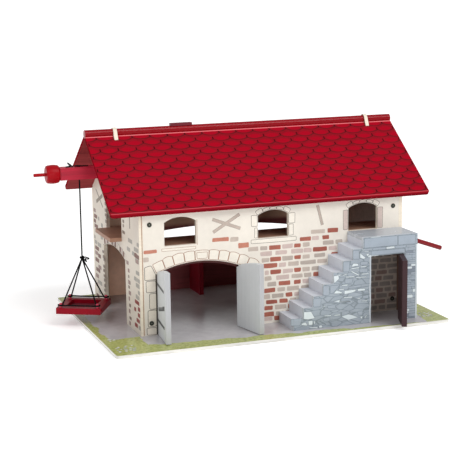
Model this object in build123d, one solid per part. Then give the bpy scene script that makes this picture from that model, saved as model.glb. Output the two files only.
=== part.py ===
from build123d import *
import os
from math import cos, radians, sin, sqrt, tan

# Toy barn on a base board, in millimetres. +X runs to the right along the front,
# +Y to the back and +Z up. The origin is the centre of the base board's underside.
# Each leaf, roof half and the hoist is drawn where it stands when the toy is on show.

# ---- base board ----
base_width = 620.0
base_depth = 440.0
base_thickness = 5.7
base_corner_radius = 6.0

# ---- shell of the house ----
board = 7.0                    # thickness of the walls and of the loft floor
left_yard = 71.5               # from the base's left edge to the left gable
front_yard = 100.5             # from the base's front edge to the front wall
house_width = 502.0
house_depth = 313.8            # length of a gable along Y

# ---- roof ----
pole_radius = 7.5
pole_height = 344.5            # height of the ridge pole's axis
roof_pitch = 35.0
roof_thickness = 6.0
roof_slope_length = 209.0      # from the pole's axis to the eave
roof_left_overhang = 51.4
roof_right_overhang = 49.0
roof_corner_radius = 5.0       # of a panel's two corners at the eave
roof_end_gap = 0.4             # between the pole and a panel's upper edge
roof_rest_gap = 0.3            # between a closed panel and the gable under it
finger_radius = 9.6            # ring of the gable round the pole
finger_reach = 19.2            # how far the ring's foot reaches down the slope
shoulder_angle = 20.0          # where the ring's foot leaves the ring
notch_gap = 0.8
ridge_batten_length = 34.0     # down the slope
ridge_batten_height = 12.0
ridge_batten_taper = 8.0       # how much shorter its lower face is
perch_length = 41.0
perch_width = 10.0
perch_height = 4.5             # above the top of the pole
perch_inset = 109.0            # from the left gable's outer face
perch_seat = 0.5               # how deep the perch sits on the pole

# ---- openings of the front wall: insets are from the left gable's outer face ----
main_door_inset = 30.1
main_door_width = 158.4
main_door_spring = 115.0
main_door_rise = 16.5          # of the arch over its springing
window_width = 58.0
window_sill_step = 1.2         # above the loft floor
window_rise = 8.5
window_head = 14.91            # from the crown to the top of the wall
left_window_inset = 45.5
middle_window_inset = 218.5
upper_door_inset = 393.5
stop_overlap = 5.5             # how far the stop board hangs below the arch
stop_border = 9.0

# ---- openings of the gables and of the back wall: depths are from the front wall's face ----
gable_door_depth = 93.0
gable_door_width = 149.5
gable_door_spring = 123.0
gable_door_rise = 11.5
loft_hatch_depth = 112.0
loft_hatch_width = 106.2
loft_hatch_spring = 238.0
loft_hatch_rise = 14.0
back_bay_inset = 78.5          # from the left gable's outer face
back_bay_width = 330.0
back_bay_sill = 65.0
back_bay_spring = 118.7
back_bay_rise = 13.1

# ---- loft ----
loft_top = 160.8
gallery_depth = 76.0
side_loft_width = 56.5
side_loft_margin = 6.3         # floor behind the loft hatch's back jamb
balcony_overhang = 21.5
floor_gap = 0.2
batten_size = 10.0

# ---- posts, bolts and stall ----
post_size = 16.0
upper_post_drop = 4.91         # under the top of the front wall
back_post_drop = 7.01          # under the top of the back wall
bolt_inset = 12.0              # from the inner face of a gable
bolt_shank_radius = 1.5
bolt_head_radius = 4.2
bolt_head_height = 1.6
bolt_head_chamfer = 0.6
bolt_socket_radius = 1.8
bolt_socket_depth = 1.1
bolt_length = 18.0
lower_bolt_height = 22.3       # above the base board
upper_bolt_drop = 24.91        # under the top of the front wall
divider_inset = 192.2          # from the left gable's outer face
divider_thickness = 8.3
divider_length = 62.3
divider_height = 69.3

# ---- door leaves ----
leaf_thickness = 9.0
leaf_edge_gap = 1.0            # between a leaf and its jamb, arch or threshold
leaf_meeting_gap = 1.2         # between the two main leaves
leaf_wall_gap = 0.4            # between a leaf's back and the stop board
pin_radius = 1.2
pin_gap = 0.05
pin_depth_low = 4.0            # into the base board
pin_depth_high = 9.0           # into the wall over the leaf
main_left_open = 96.0
main_right_open = 102.0
stair_door_open = 70.0

# ---- stairs ----
stair_inset = 258.0            # from the left gable's outer face
stair_depth = 67.1             # from the front wall to the stairs' outer face
stair_end_inset = 3.0          # from the right gable's outer face
stair_steps = 8
stair_going = 19.14
tread_thickness = 4.0
riser_thickness = 4.0
landing_thickness = 6.0
stair_door_inset = 25.5        # from the stairs' right end
stair_door_width = 66.0
stair_pin_set_back = 1.5       # leaf's middle, towards the front
landing_step = 0.9             # above the loft floor
stair_lintel = 127.2
stair_leaf_head_gap = 1.2

# ---- hoist ----
beam_size = 22.0
beam_drop = 68.0               # from the pole's axis down to the beam's
beam_reach = 99.5              # outside the left gable
beam_tail = 33.5               # inside its outer face
beam_gap = 0.1
socket_size = 38.0
socket_thickness = 12.0
pocket_length = 16.0
pocket_width = 14.0
pocket_floor = 4.0
guide_hole_radius = 2.5
hoist_reach = 63.0             # where the cord hangs, from the left gable
knob_radius = 17.0
knob_length = 24.2
knob_bevel_length = 3.5        # along the knob
knob_bevel_depth = 2.5         # towards its axis
knob_gap = 0.3
axle_radius = 3.0
axle_gap = 0.08
axle_reach = 145.9             # its outer end, from the left gable
axle_length = 100.4
cord_turns_radius = 5.2
cord_turns_length = 10.0
cord_radius = 1.4
cord_start_gap = 0.3
knot_height = 120.3
knot_radius = 3.6

# ---- tray ----
tray_side = 82.0
tray_turn = -28.0              # about the cord, in degrees
tray_bottom = 25.0
tray_floor_thickness = 4.0
rim_height = 11.0
rim_thickness = 14.0
peg_radius = 3.0
peg_above_rim = 8.0
sling_height_on_peg = 4.5      # above the rim
sling_loop_height = 3.4
sling_loop_gap = 0.1

# ---- slanting rod on the right gable ----
rod_radius = 4.2
rod_depth = 14.5               # from the front wall's face
rod_drop = 17.3                # under the loft floor's top, where it leaves the gable
rod_slope = 19.7
rod_length = 94.0

# ---- sizes that follow ----
house_left = left_yard - base_width / 2
house_front = front_yard - base_depth / 2
house_right = house_left + house_width
house_back = house_front + house_depth
room_left = house_left + board
room_right = house_right - board
room_front = house_front + board
ridge_y = house_front + house_depth / 2
pitch = radians(roof_pitch)
floor_level = base_thickness
loft_underside = loft_top - board
wall_top = (
    pole_height
    - (roof_thickness + roof_rest_gap) / cos(pitch)
    - house_depth / 2 * tan(pitch)
)
main_door_left_jamb = house_left + main_door_inset
main_door_right_jamb = main_door_left_jamb + main_door_width
main_door_crown = main_door_spring + main_door_rise
window_sill = loft_top + window_sill_step
window_crown = wall_top - window_head
window_spring = window_crown - window_rise
window_edges = [
    house_left + inset for inset in (left_window_inset, middle_window_inset, upper_door_inset)
]
gable_door_front = house_front + gable_door_depth
gable_door_crown = gable_door_spring + gable_door_rise
loft_hatch_front = house_front + loft_hatch_depth
loft_hatch_crown = loft_hatch_spring + loft_hatch_rise
back_bay_left = house_left + back_bay_inset
back_bay_crown = back_bay_spring + back_bay_rise
side_loft_back = loft_hatch_front + loft_hatch_width + side_loft_margin
upper_post_top = wall_top - upper_post_drop
back_post_top = wall_top - board * tan(pitch) - back_post_drop
bolt_heights = (floor_level + lower_bolt_height, wall_top - upper_bolt_drop)
divider_left = house_left + divider_inset
perch_left = house_left + perch_inset
roof_left = house_left - roof_left_overhang
roof_right = house_right + roof_right_overhang
panel_start = pole_radius + roof_end_gap
stair_left = house_left + stair_inset
stair_right = house_right - stair_end_inset
stair_back = house_front
stair_front = house_front - stair_depth
stair_door_right = stair_right - stair_door_inset
stair_door_left = stair_door_right - stair_door_width
stair_rise = (loft_top + landing_step - floor_level) / stair_steps
landing_left = stair_left + stair_going * (stair_steps - 1)
landing_top = floor_level + stair_rise * stair_steps
hinge_inset = leaf_thickness / 2 + leaf_edge_gap
main_pin_y = room_front - leaf_thickness / 2 - leaf_wall_gap
stair_pin_y = (
    stair_front + board - leaf_thickness / 2 - leaf_wall_gap + stair_pin_set_back
)
leaf_low = floor_level + leaf_edge_gap
beam_axis_height = pole_height - beam_drop
beam_end = house_left - beam_reach
beam_inner_end = house_left + beam_tail
hoist_x = house_left - hoist_reach
axle_end = house_left - axle_reach
axle_inner_end = axle_end + axle_length
rod_y = house_front + rod_depth
rod_height = loft_top - rod_drop
beam_bottom = beam_axis_height - beam_size / 2
beam_top = beam_axis_height + beam_size / 2
rim_top = tray_bottom + rim_height
peg_offset = tray_side / 2 - rim_thickness / 2


def rectangle(left, right, low, high):
    corners = [(left, low), (right, low), (right, high), (left, high)]
    return make_face(Polyline(*corners, close=True))


def polygon(points):
    return make_face(Polyline(*points, close=True))


def arched(left, right, low, spring, crown, inset=0.0):
    """Opening with a segmental arch; inset draws it smaller all round but the bottom."""
    half_span = (right - left) / 2
    rise = crown - spring
    radius = (half_span**2 + rise**2) / (2 * rise)
    disc = Pos((left + right) / 2, crown - radius) * Circle(radius - inset)
    return rectangle(left + inset, right - inset, low, crown - inset) & disc


def front_board(outline, front, thickness):
    """Board parallel to the front wall, from an outline in X and Z."""
    back = Plane(origin=(0, front + thickness, 0), x_dir=(1, 0, 0), z_dir=(0, -1, 0))
    return extrude(back * outline, thickness)


def side_board(outline, left, thickness):
    """Board parallel to a gable, from an outline in Y and Z."""
    side = Plane(origin=(left, 0, 0), x_dir=(0, 1, 0), z_dir=(1, 0, 0))
    return extrude(side * outline, thickness)


def flat_board(outline, bottom, thickness):
    return extrude(Plane(origin=(0, 0, bottom)) * outline, thickness)


def block(left, right, front, back, low, high):
    return flat_board(rectangle(left, right, front, back), low, high - low)


def rod_between(start, end, radius):
    """Round rod from one point to another."""
    way = Vector(*end) - Vector(*start)
    return extrude(Plane(origin=start, z_dir=way) * Circle(radius), way.length)


def rod_x(start, end, y, z, radius):
    return rod_between((start, y, z), (end, y, z), radius)


def save(node, *solids):
    shape = solids[0] if len(solids) == 1 else Compound(children=list(solids))
    export_step(shape, f"parts/{node}.step")


# ---- roof geometry: a point s down the slope from the pole and d under the roof's face ----
def slope_point(s, d, side):
    """Y and Z of such a point; side is -1 on the front slope and 1 on the back."""
    out = s * cos(pitch) - d * sin(pitch)
    return (ridge_y + side * out, pole_height - s * sin(pitch) - d * cos(pitch))


def rafter_height(y):
    """Height of a gable's sloping edge at a distance along Y."""
    depth = (roof_thickness + roof_rest_gap) / cos(pitch)
    return pole_height - depth - abs(y - ridge_y) * tan(pitch)


def make_base():
    outline = RectangleRounded(base_width, base_depth, base_corner_radius)
    base = flat_board(outline, 0, base_thickness)
    for pin_x, pin_y in pin_places():
        base -= pin_hole(pin_x, pin_y, floor_level - pin_depth_low, floor_level + 1)
    return base


def pin_places():
    return [
        (main_door_left_jamb + hinge_inset, main_pin_y),
        (main_door_right_jamb - hinge_inset, main_pin_y),
        (stair_door_right - hinge_inset, stair_pin_y),
    ]


def pin_hole(x, y, low, high):
    return rod_between((x, y, low), (x, y, high), pin_radius + pin_gap)


def make_front_wall():
    top = rafter_height(house_front)
    wall = front_board(rectangle(room_left, room_right, floor_level, top), house_front, board)
    doorway = arched(
        main_door_left_jamb, main_door_right_jamb, 0, main_door_spring, main_door_crown
    )
    wall -= front_board(doorway, house_front - 1, board + 2)
    for edge in window_edges:
        window = arched(edge, edge + window_width, window_sill, window_spring, window_crown)
        wall -= front_board(window, house_front - 1, board + 2)
    for x, y in pin_places()[:2]:
        wall -= pin_hole(x, y, main_door_spring - 2, main_leaf_top(x) + pin_depth_high + 0.5)
    for x, z in bolt_places():
        wall -= rod_between((x, house_front - 1, z), (x, room_front + 1, z), bolt_shank_radius)
    return wall


def main_leaf_top(x):
    """Height of the main doorway's arch over a place along X."""
    half_span = main_door_width / 2
    rise = main_door_crown - main_door_spring
    radius = (half_span**2 + rise**2) / (2 * rise)
    offset = x - (main_door_left_jamb + half_span)
    return main_door_crown - radius + sqrt(radius**2 - offset**2)


def gable_outline():
    front_foot = (house_front, floor_level)
    back_foot = (house_back, floor_level)
    front_eave = (house_front, rafter_height(house_front))
    back_eave = (house_back, rafter_height(house_back))
    under_roof = roof_thickness + roof_rest_gap
    points = [front_foot, back_foot, back_eave]
    points += [slope_point(finger_reach, under_roof, 1), slope_point(finger_reach, 0, 1)]
    shoulder_y = finger_radius * cos(radians(shoulder_angle))
    shoulder_z = pole_height + finger_radius * sin(radians(shoulder_angle))
    points += [(ridge_y + shoulder_y, shoulder_z), (ridge_y - shoulder_y, shoulder_z)]
    points += [slope_point(finger_reach, 0, -1), slope_point(finger_reach, under_roof, -1)]
    points += [front_eave]
    ring = Pos(ridge_y, pole_height) * Circle(finger_radius)
    hole = Pos(ridge_y, pole_height) * Circle(pole_radius + pin_gap)
    return polygon(points) + ring - hole


def make_left_gable():
    outline = gable_outline()
    door_back = gable_door_front + gable_door_width
    hatch_back = loft_hatch_front + loft_hatch_width
    outline -= arched(
        gable_door_front, door_back, floor_level - 1, gable_door_spring, gable_door_crown
    )
    outline -= arched(
        loft_hatch_front, hatch_back, loft_underside, loft_hatch_spring, loft_hatch_crown
    )
    hole = beam_size / 2 + beam_gap
    outline -= rectangle(
        ridge_y - hole, ridge_y + hole, beam_axis_height - hole, beam_axis_height + hole
    )
    return side_board(outline, house_left, board)


def make_right_gable():
    gable = side_board(gable_outline(), room_right, board)
    return gable - slanting_rod(rod_radius + pin_gap, 2.0)


def slanting_rod(radius, extra=0.0):
    """Rod through the right gable; its inner end is flush with the gable's inner face."""
    angle = radians(rod_slope)
    inside = board / cos(angle) + extra
    start = (
        house_right - inside * cos(angle),
        rod_y,
        rod_height + inside * sin(angle),
    )
    end = (
        house_right + rod_length * cos(angle),
        rod_y,
        rod_height - rod_length * sin(angle),
    )
    return rod_between(start, end, radius)


def make_side_rod():
    rod = slanting_rod(rod_radius, 2.0)
    return rod - block(room_left, room_right, rod_y - rod_length / 4, rod_y + rod_length / 4, 0, pole_height)


def make_back_wall():
    top = rafter_height(house_back + board)
    wall = front_board(
        rectangle(house_left, house_right, floor_level, top), house_back, board
    )
    bay = arched(
        back_bay_left,
        back_bay_left + back_bay_width,
        back_bay_sill,
        back_bay_spring,
        back_bay_crown,
    )
    return wall - front_board(bay, house_back - 1, board + 2)


def make_posts():
    post_back = room_front + post_size
    posts = []
    for left in (room_left, room_right - post_size):
        right = left + post_size
        posts.append(block(left, right, room_front, post_back, floor_level, loft_underside))
        posts.append(block(left, right, room_front, post_back, loft_top, upper_post_top))
        back_post = block(
            left, right, house_back - post_size, house_back, floor_level, back_post_top
        )
        posts.append(back_post)
    bored = []
    for post in posts:
        for x, z in bolt_places():
            post -= bolt_shank(x, z)
        bored.append(post)
    return bored


def bolt_places():
    left_x = room_left + bolt_inset
    right_x = room_right - bolt_inset
    return [(x, z) for x in (left_x, right_x) for z in bolt_heights]


def bolt_shank(x, z):
    return rod_between(
        (x, house_front, z), (x, house_front + bolt_length, z), bolt_shank_radius
    )


def make_bolts():
    bolts = []
    for x, z in bolt_places():
        head_face = (x, house_front - bolt_head_height, z)
        head = rod_between(head_face, (x, house_front, z), bolt_head_radius)
        rim = head.edges().filter_by(GeomType.CIRCLE).sort_by(Axis.Y)[0]
        head = chamfer(rim, bolt_head_chamfer)
        socket = Plane(origin=head_face, z_dir=(0, 1, 0)) * RegularPolygon(bolt_socket_radius, 6)
        bolts.append(head + bolt_shank(x, z) - extrude(socket, bolt_socket_depth))
    return bolts


def make_door_stop():
    left = main_door_left_jamb - stop_border / 2
    right = main_door_right_jamb + stop_border / 2
    crown = main_door_crown + stop_border
    low = main_door_spring - stop_overlap - stop_border
    outer = arched(left, right, low, main_door_spring + stop_border / 2, crown)
    inner = arched(
        main_door_left_jamb,
        main_door_right_jamb,
        0,
        main_door_spring - stop_overlap,
        main_door_crown - stop_overlap,
    )
    stop = front_board(outer - inner, room_front, board)
    for x, y in pin_places()[:2]:
        stop -= pin_hole(x, y, 0, pole_height)
    return stop


def make_loft_floor():
    hatch_front = loft_hatch_front + floor_gap
    hatch_back = loft_hatch_front + loft_hatch_width - floor_gap
    gallery_back = room_front + gallery_depth
    side_right = room_left + side_loft_width
    balcony_left = house_left - balcony_overhang
    points = [
        (room_left, room_front),
        (room_right, room_front),
        (room_right, gallery_back),
        (side_right, gallery_back),
        (side_right, side_loft_back),
        (room_left, side_loft_back),
        (room_left, hatch_back),
        (balcony_left, hatch_back),
        (balcony_left, hatch_front),
        (room_left, hatch_front),
    ]
    return flat_board(polygon(points), loft_underside, board)


def make_floor_battens():
    low = loft_underside - batten_size
    post_back = room_front + post_size
    front = block(
        room_left + post_size,
        room_right - post_size,
        room_front,
        room_front + batten_size,
        low,
        loft_underside,
    )
    left = block(
        room_left, room_left + batten_size, post_back, side_loft_back, low, loft_underside
    )
    right = block(
        room_right - batten_size,
        room_right,
        post_back,
        room_front + gallery_depth,
        low,
        loft_underside,
    )
    return [front, left, right]


def make_divider():
    return block(
        divider_left,
        divider_left + divider_thickness,
        house_back - divider_length,
        house_back,
        floor_level,
        floor_level + divider_height,
    )


# ---- stairs ----
def tread_top(step):
    return floor_level + stair_rise * (step + 1)


def step_edge(step):
    return stair_left + stair_going * step


def make_stair_panel():
    points = [(stair_left, floor_level)]
    for step in range(stair_steps):
        points += [(step_edge(step), tread_top(step))]
        if step < stair_steps - 1:
            points += [(step_edge(step + 1), tread_top(step))]
    points += [(stair_right, landing_top), (stair_right, floor_level)]
    outline = polygon(points)
    outline -= rectangle(stair_door_left, stair_door_right, 0, stair_lintel)
    panel = front_board(outline, stair_front, board)
    x, y = pin_places()[2]
    return panel - pin_hole(x, y, stair_lintel - 2, stair_lintel + pin_depth_high + 0.5)


def make_treads():
    treads = []
    for step in range(stair_steps - 1):
        top = tread_top(step)
        tread = block(
            step_edge(step),
            step_edge(step + 1) + riser_thickness,
            stair_front + board,
            stair_back,
            top - tread_thickness,
            top,
        )
        treads.append(tread)
    return treads


def make_risers():
    risers = []
    for step in range(stair_steps):
        low = floor_level if step == 0 else tread_top(step - 1)
        board_over = landing_thickness if step == stair_steps - 1 else tread_thickness
        riser = block(
            step_edge(step),
            step_edge(step) + riser_thickness,
            stair_front + board,
            stair_back,
            low,
            tread_top(step) - board_over,
        )
        risers.append(riser)
    return risers


def make_landing():
    return block(
        landing_left,
        stair_right,
        stair_front + board,
        stair_back,
        landing_top - landing_thickness,
        landing_top,
    )


def make_stair_side():
    return block(
        stair_right - board,
        stair_right,
        stair_front + board,
        stair_back,
        floor_level,
        landing_top - landing_thickness,
    )


# ---- door leaves: drawn shut, then swung open about their pins ----
def leaf_blank(pin_x, pin_y, free_x, high):
    half = leaf_thickness / 2
    left = min(pin_x, free_x)
    right = max(pin_x, free_x)
    slab = block(left, right, pin_y - half, pin_y + half, leaf_low, high)
    round_edge = rod_between((pin_x, pin_y, leaf_low), (pin_x, pin_y, high), half)
    return slab + round_edge - pin_hole(pin_x, pin_y, leaf_low - 1, high + 1)


def swing(shape, pin_x, pin_y, angle):
    return Pos(pin_x, pin_y, 0) * Rot(0, 0, angle) * Pos(-pin_x, -pin_y, 0) * shape


def make_main_leaf(side):
    """Main door leaf; side is -1 for the left leaf and 1 for the right one."""
    x, y = pin_places()[0 if side < 0 else 1]
    middle = (main_door_left_jamb + main_door_right_jamb) / 2
    blank = leaf_blank(x, y, middle + side * leaf_meeting_gap / 2, main_door_crown)
    shape = arched(
        main_door_left_jamb,
        main_door_right_jamb,
        0,
        main_door_spring,
        main_door_crown,
        leaf_edge_gap,
    )
    leaf = blank & front_board(shape, y - leaf_thickness, 2 * leaf_thickness)
    # the hinge end is level, so that it turns under the falling end of the arch
    half = leaf_thickness / 2
    shoulder = main_door_spring - leaf_edge_gap
    leaf -= block(x - half, x + half, y - half, y + half, shoulder, main_door_crown)
    angle = -main_left_open if side < 0 else main_right_open
    return swing(leaf, x, y, angle)


def make_stair_leaf():
    x, y = pin_places()[2]
    high = stair_lintel - stair_leaf_head_gap
    leaf = leaf_blank(x, y, stair_door_left + leaf_edge_gap, high)
    return swing(leaf, x, y, stair_door_open)


def make_pin(place, top):
    x, y = place
    low = floor_level - pin_depth_low + 0.5
    return rod_between((x, y, low), (x, y, top), pin_radius)


# ---- roof ----
def make_roof_panel(side):
    """Roof half; side is -1 in front and 1 at the back."""
    outline = polygon(
        [
            slope_point(panel_start, 0, side),
            slope_point(roof_slope_length, 0, side),
            slope_point(roof_slope_length, roof_thickness, side),
            slope_point(panel_start, roof_thickness, side),
        ]
    )
    panel = side_board(outline, roof_left, roof_right - roof_left)
    eave_y = ridge_y + side * roof_slope_length * cos(pitch)
    corners = [
        edge
        for edge in panel.edges()
        if abs(edge.length - roof_thickness) < 0.01
        and abs(edge.center().Y - eave_y) < roof_thickness
    ]
    panel = fillet(corners, roof_corner_radius)
    notch = polygon(
        [
            slope_point(0, -1, side),
            slope_point(finger_reach + notch_gap, -1, side),
            slope_point(finger_reach + notch_gap, roof_thickness + 1, side),
            slope_point(0, roof_thickness + 1, side),
        ]
    )
    for left in (house_left, room_right):
        panel -= side_board(notch, left - notch_gap / 2, board + notch_gap)
    return panel


def make_ridge_batten(side):
    outline = polygon(
        [
            slope_point(0, roof_thickness, side),
            slope_point(ridge_batten_length, roof_thickness, side),
            slope_point(
                ridge_batten_length - ridge_batten_taper,
                roof_thickness + ridge_batten_height,
                side,
            ),
            slope_point(0, roof_thickness + ridge_batten_height, side),
        ]
    )
    far = ridge_y + side * 2 * ridge_batten_length
    near = ridge_y + side * roof_end_gap
    half_space = rectangle(min(far, near), max(far, near), 0, pole_height)
    seat = Pos(ridge_y, pole_height) * Circle(pole_radius + pin_gap)
    outline = (outline & half_space) - seat
    left = room_left + roof_end_gap
    return side_board(outline, left, room_right - roof_end_gap - left)


def make_pole():
    return rod_x(roof_left, roof_right, ridge_y, pole_height, pole_radius)


def make_perch():
    top = pole_height + pole_radius + perch_height
    plate = block(
        perch_left,
        perch_left + perch_length,
        ridge_y - perch_width / 2,
        ridge_y + perch_width / 2,
        pole_height + pole_radius - perch_seat,
        top,
    )
    return plate - make_pole()


# ---- hoist ----
def make_beam():
    half = beam_size / 2
    beam = block(
        beam_end, beam_inner_end, ridge_y - half, ridge_y + half, beam_bottom, beam_top
    )
    beam -= block(
        hoist_x - pocket_length / 2,
        hoist_x + pocket_length / 2,
        ridge_y - pocket_width / 2,
        ridge_y + pocket_width / 2,
        beam_bottom + pocket_floor,
        beam_top + 1,
    )
    beam -= rod_between(
        (hoist_x, ridge_y, beam_bottom - 1),
        (hoist_x, ridge_y, beam_axis_height),
        guide_hole_radius,
    )
    bore_end = axle_inner_end + 0.5
    return beam - rod_x(
        beam_end - 1, bore_end, ridge_y, beam_axis_height, axle_radius + axle_gap
    )


def make_socket():
    half = socket_size / 2
    hole = beam_size / 2 + beam_gap
    outline = rectangle(
        ridge_y - half, ridge_y + half, beam_axis_height - half, beam_axis_height + half
    )
    outline -= rectangle(
        ridge_y - hole, ridge_y + hole, beam_axis_height - hole, beam_axis_height + hole
    )
    outline &= polygon(
        [
            (ridge_y - half, 0),
            (ridge_y + half, 0),
            (ridge_y + half, rafter_height(ridge_y + half) - batten_clearance()),
            (ridge_y - half, rafter_height(ridge_y - half) - batten_clearance()),
        ]
    )
    return side_board(outline, room_left, socket_thickness)


def batten_clearance():
    """Room left under the ridge battens, measured down from a gable's edge."""
    return ridge_batten_height / cos(pitch) + 1


def make_axle():
    return rod_x(axle_end, axle_inner_end, ridge_y, beam_axis_height, axle_radius)


def make_knob():
    right = beam_end - knob_gap
    left = right - knob_length
    shoulder = knob_radius - knob_bevel_depth
    profile = polygon(
        [
            (left, axle_radius),
            (left, shoulder),
            (left + knob_bevel_length, knob_radius),
            (right - knob_bevel_length, knob_radius),
            (right, shoulder),
            (right, axle_radius),
        ]
    )
    centre = (0, ridge_y, beam_axis_height)
    cut = Plane(origin=centre, x_dir=(1, 0, 0), z_dir=(0, -1, 0))
    return revolve(cut * profile, axis=Axis(centre, (1, 0, 0)))


def make_cord_turns():
    half = cord_turns_length / 2
    drum = rod_x(
        hoist_x - half, hoist_x + half, ridge_y, beam_axis_height, cord_turns_radius
    )
    return drum - make_axle()


def make_hoist_cord():
    top = beam_axis_height - cord_turns_radius - cord_start_gap
    low = knot_height + knot_radius + cord_start_gap
    return rod_between((hoist_x, ridge_y, top), (hoist_x, ridge_y, low), cord_radius)


def make_knot():
    profile = polygon(
        [
            (0, knot_height - knot_radius),
            (knot_radius / 2, knot_height - knot_radius),
            (knot_radius, knot_height),
            (knot_radius / 2, knot_height + knot_radius),
            (0, knot_height + knot_radius),
        ]
    )
    centre = (hoist_x, ridge_y, 0)
    cut = Plane(origin=centre, x_dir=(1, 0, 0), z_dir=(0, -1, 0))
    return revolve(cut * profile, axis=Axis(centre, (0, 0, 1)))


# ---- tray: drawn square about its own centre, then turned under the cord ----
def hang(shape):
    return Pos(hoist_x, ridge_y, 0) * Rot(0, 0, tray_turn) * shape


def tray_corners():
    return [(-peg_offset, -peg_offset), (peg_offset, -peg_offset),
            (peg_offset, peg_offset), (-peg_offset, peg_offset)]


def make_tray_floor():
    half = tray_side / 2 - rim_thickness
    return hang(block(-half, half, -half, half, tray_bottom, tray_bottom + tray_floor_thickness))


def make_tray_rim():
    half = tray_side / 2
    inner = half - rim_thickness
    rails = [
        block(-half, half, -half, -inner, tray_bottom, rim_top),
        block(-half, half, inner, half, tray_bottom, rim_top),
        block(-half, -inner, -inner, inner, tray_bottom, rim_top),
        block(inner, half, -inner, inner, tray_bottom, rim_top),
    ]
    bored = []
    for rail in rails:
        for x, y in tray_corners():
            rail -= peg_at(x, y)
        bored.append(hang(rail))
    return bored


def peg_at(x, y):
    low = rim_top - rim_height / 2
    return rod_between((x, y, low), (x, y, rim_top + peg_above_rim), peg_radius)


def make_pegs():
    return [hang(peg_at(x, y)) for x, y in tray_corners()]


def make_slings():
    """Four legs from the knot to a loop round each peg, and a tie along two of the rails."""
    height = rim_top + sling_height_on_peg
    loop_radius = peg_radius + sling_loop_gap + cord_radius
    corners = tray_corners()
    web = None
    for index, (x, y) in enumerate(corners):
        low = height - sling_loop_height / 2
        loop = rod_between((x, y, low), (x, y, low + sling_loop_height), loop_radius)
        reach = (peg_offset - loop_radius / sqrt(2)) / peg_offset
        leg = rod_between((0, 0, knot_height), (x * reach, y * reach, height), cord_radius)
        piece = loop + leg
        if index % 2 == 0:
            next_x, next_y = corners[index + 1]
            piece += rod_between((x, y, height), (next_x, next_y, height), cord_radius)
        web = piece if web is None else web + piece
    for x, y in corners:
        web -= rod_between((x, y, 0), (x, y, pole_height), peg_radius + sling_loop_gap)
    return hang(web) - make_knot()


os.makedirs("parts", exist_ok=True)

save("base_board", make_base())
save("front_wall", make_front_wall())
save("left_gable", make_left_gable())
save("right_gable", make_right_gable())
save("back_wall", make_back_wall())
save("corner_posts", *make_posts())
save("corner_bolts", *make_bolts())
save("door_stop", make_door_stop())
save("loft_floor", make_loft_floor())
save("floor_battens", *make_floor_battens())
save("stall_divider", make_divider())
save("stair_front_panel", make_stair_panel())
save("stair_treads", *make_treads())
save("stair_risers", *make_risers())
save("stair_landing", make_landing())
save("stair_side_panel", make_stair_side())
save("ridge_pole", make_pole())
save("ridge_perch", make_perch())
save("crane_beam", make_beam())
save("crane_socket", make_socket())
save("side_rod", make_side_rod())

for name, side in (("front", -1), ("back", 1)):
    save(f"{name}_roof_panel", make_roof_panel(side))
    save(f"{name}_ridge_batten", make_ridge_batten(side))

for name, side in (("left", -1), ("right", 1)):
    place = pin_places()[0 if side < 0 else 1]
    save(f"main_door_{name}", make_main_leaf(side))
    save(f"main_door_{name}_pin", make_pin(place, main_leaf_top(place[0]) + pin_depth_high))

save("stair_door", make_stair_leaf())
save("stair_door_pin", make_pin(pin_places()[2], stair_lintel + pin_depth_high))

save("winch_knob", make_knob())
save("winch_axle", make_axle())
save("winch_cord_turns", make_cord_turns())
save("hoist_cord", make_hoist_cord())
save("hoist_knot", make_knot())
save("sling_cords", make_slings())
save("tray_floor", make_tray_floor())
save("tray_rim", *make_tray_rim())
save("tray_pegs", *make_pegs())

print("hoist cord: straight, no bends; legs of the sling: straight")
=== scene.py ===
# Toy barn on its base board: what is printed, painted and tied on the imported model
import math
import random

import bmesh
import bpy
from mathutils import Matrix, Vector


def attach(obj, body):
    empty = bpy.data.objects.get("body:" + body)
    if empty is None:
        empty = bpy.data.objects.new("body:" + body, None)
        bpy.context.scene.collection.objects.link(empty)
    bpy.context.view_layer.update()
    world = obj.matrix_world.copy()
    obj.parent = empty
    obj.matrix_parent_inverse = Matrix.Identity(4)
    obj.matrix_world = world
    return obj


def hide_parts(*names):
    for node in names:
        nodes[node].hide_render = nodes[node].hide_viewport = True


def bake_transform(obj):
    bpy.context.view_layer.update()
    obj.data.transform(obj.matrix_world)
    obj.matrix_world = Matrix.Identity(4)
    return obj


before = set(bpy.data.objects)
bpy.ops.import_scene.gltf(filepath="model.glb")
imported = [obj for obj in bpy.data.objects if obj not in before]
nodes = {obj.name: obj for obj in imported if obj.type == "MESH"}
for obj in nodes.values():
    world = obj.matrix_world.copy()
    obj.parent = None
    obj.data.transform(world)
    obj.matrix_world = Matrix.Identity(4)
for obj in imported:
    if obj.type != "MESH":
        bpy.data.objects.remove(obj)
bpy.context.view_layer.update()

scene = bpy.context.scene
mm = 0.001


def boxOf(name):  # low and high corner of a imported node, in millimetres
    node = nodes[name]
    places = [node.matrix_world @ Vector(corner) for corner in node.bound_box]
    return [[round(pick(p[i] for p in places) / mm, 3) for i in range(3)] for pick in (min, max)]


def middleOf(name, axis):
    low, high = boxOf(name)
    return round((low[axis] + high[axis]) / 2, 3)


# places in millimetres, all but the roof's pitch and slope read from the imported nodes
barn = dict(
    left=boxOf("left_gable")[0][0], right=boxOf("right_gable")[1][0],
    front=boxOf("front_wall")[0][1], back=boxOf("back_wall")[1][1], floor=boxOf("base_board")[1][2],
    stairFront=boxOf("stair_front_panel")[0][1],
    ridge=middleOf("ridge_pole", 1), pole=middleOf("ridge_pole", 2), pitch=35.0, slope=209.0,
)
camera = dict(
    place=(-0.86664, -2.32317, 0.63485), yaw=19.65, pitch=10.78, roll=-0.80,
    lens=108.42, sensor=36.0, farEnd=50,
)


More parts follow.
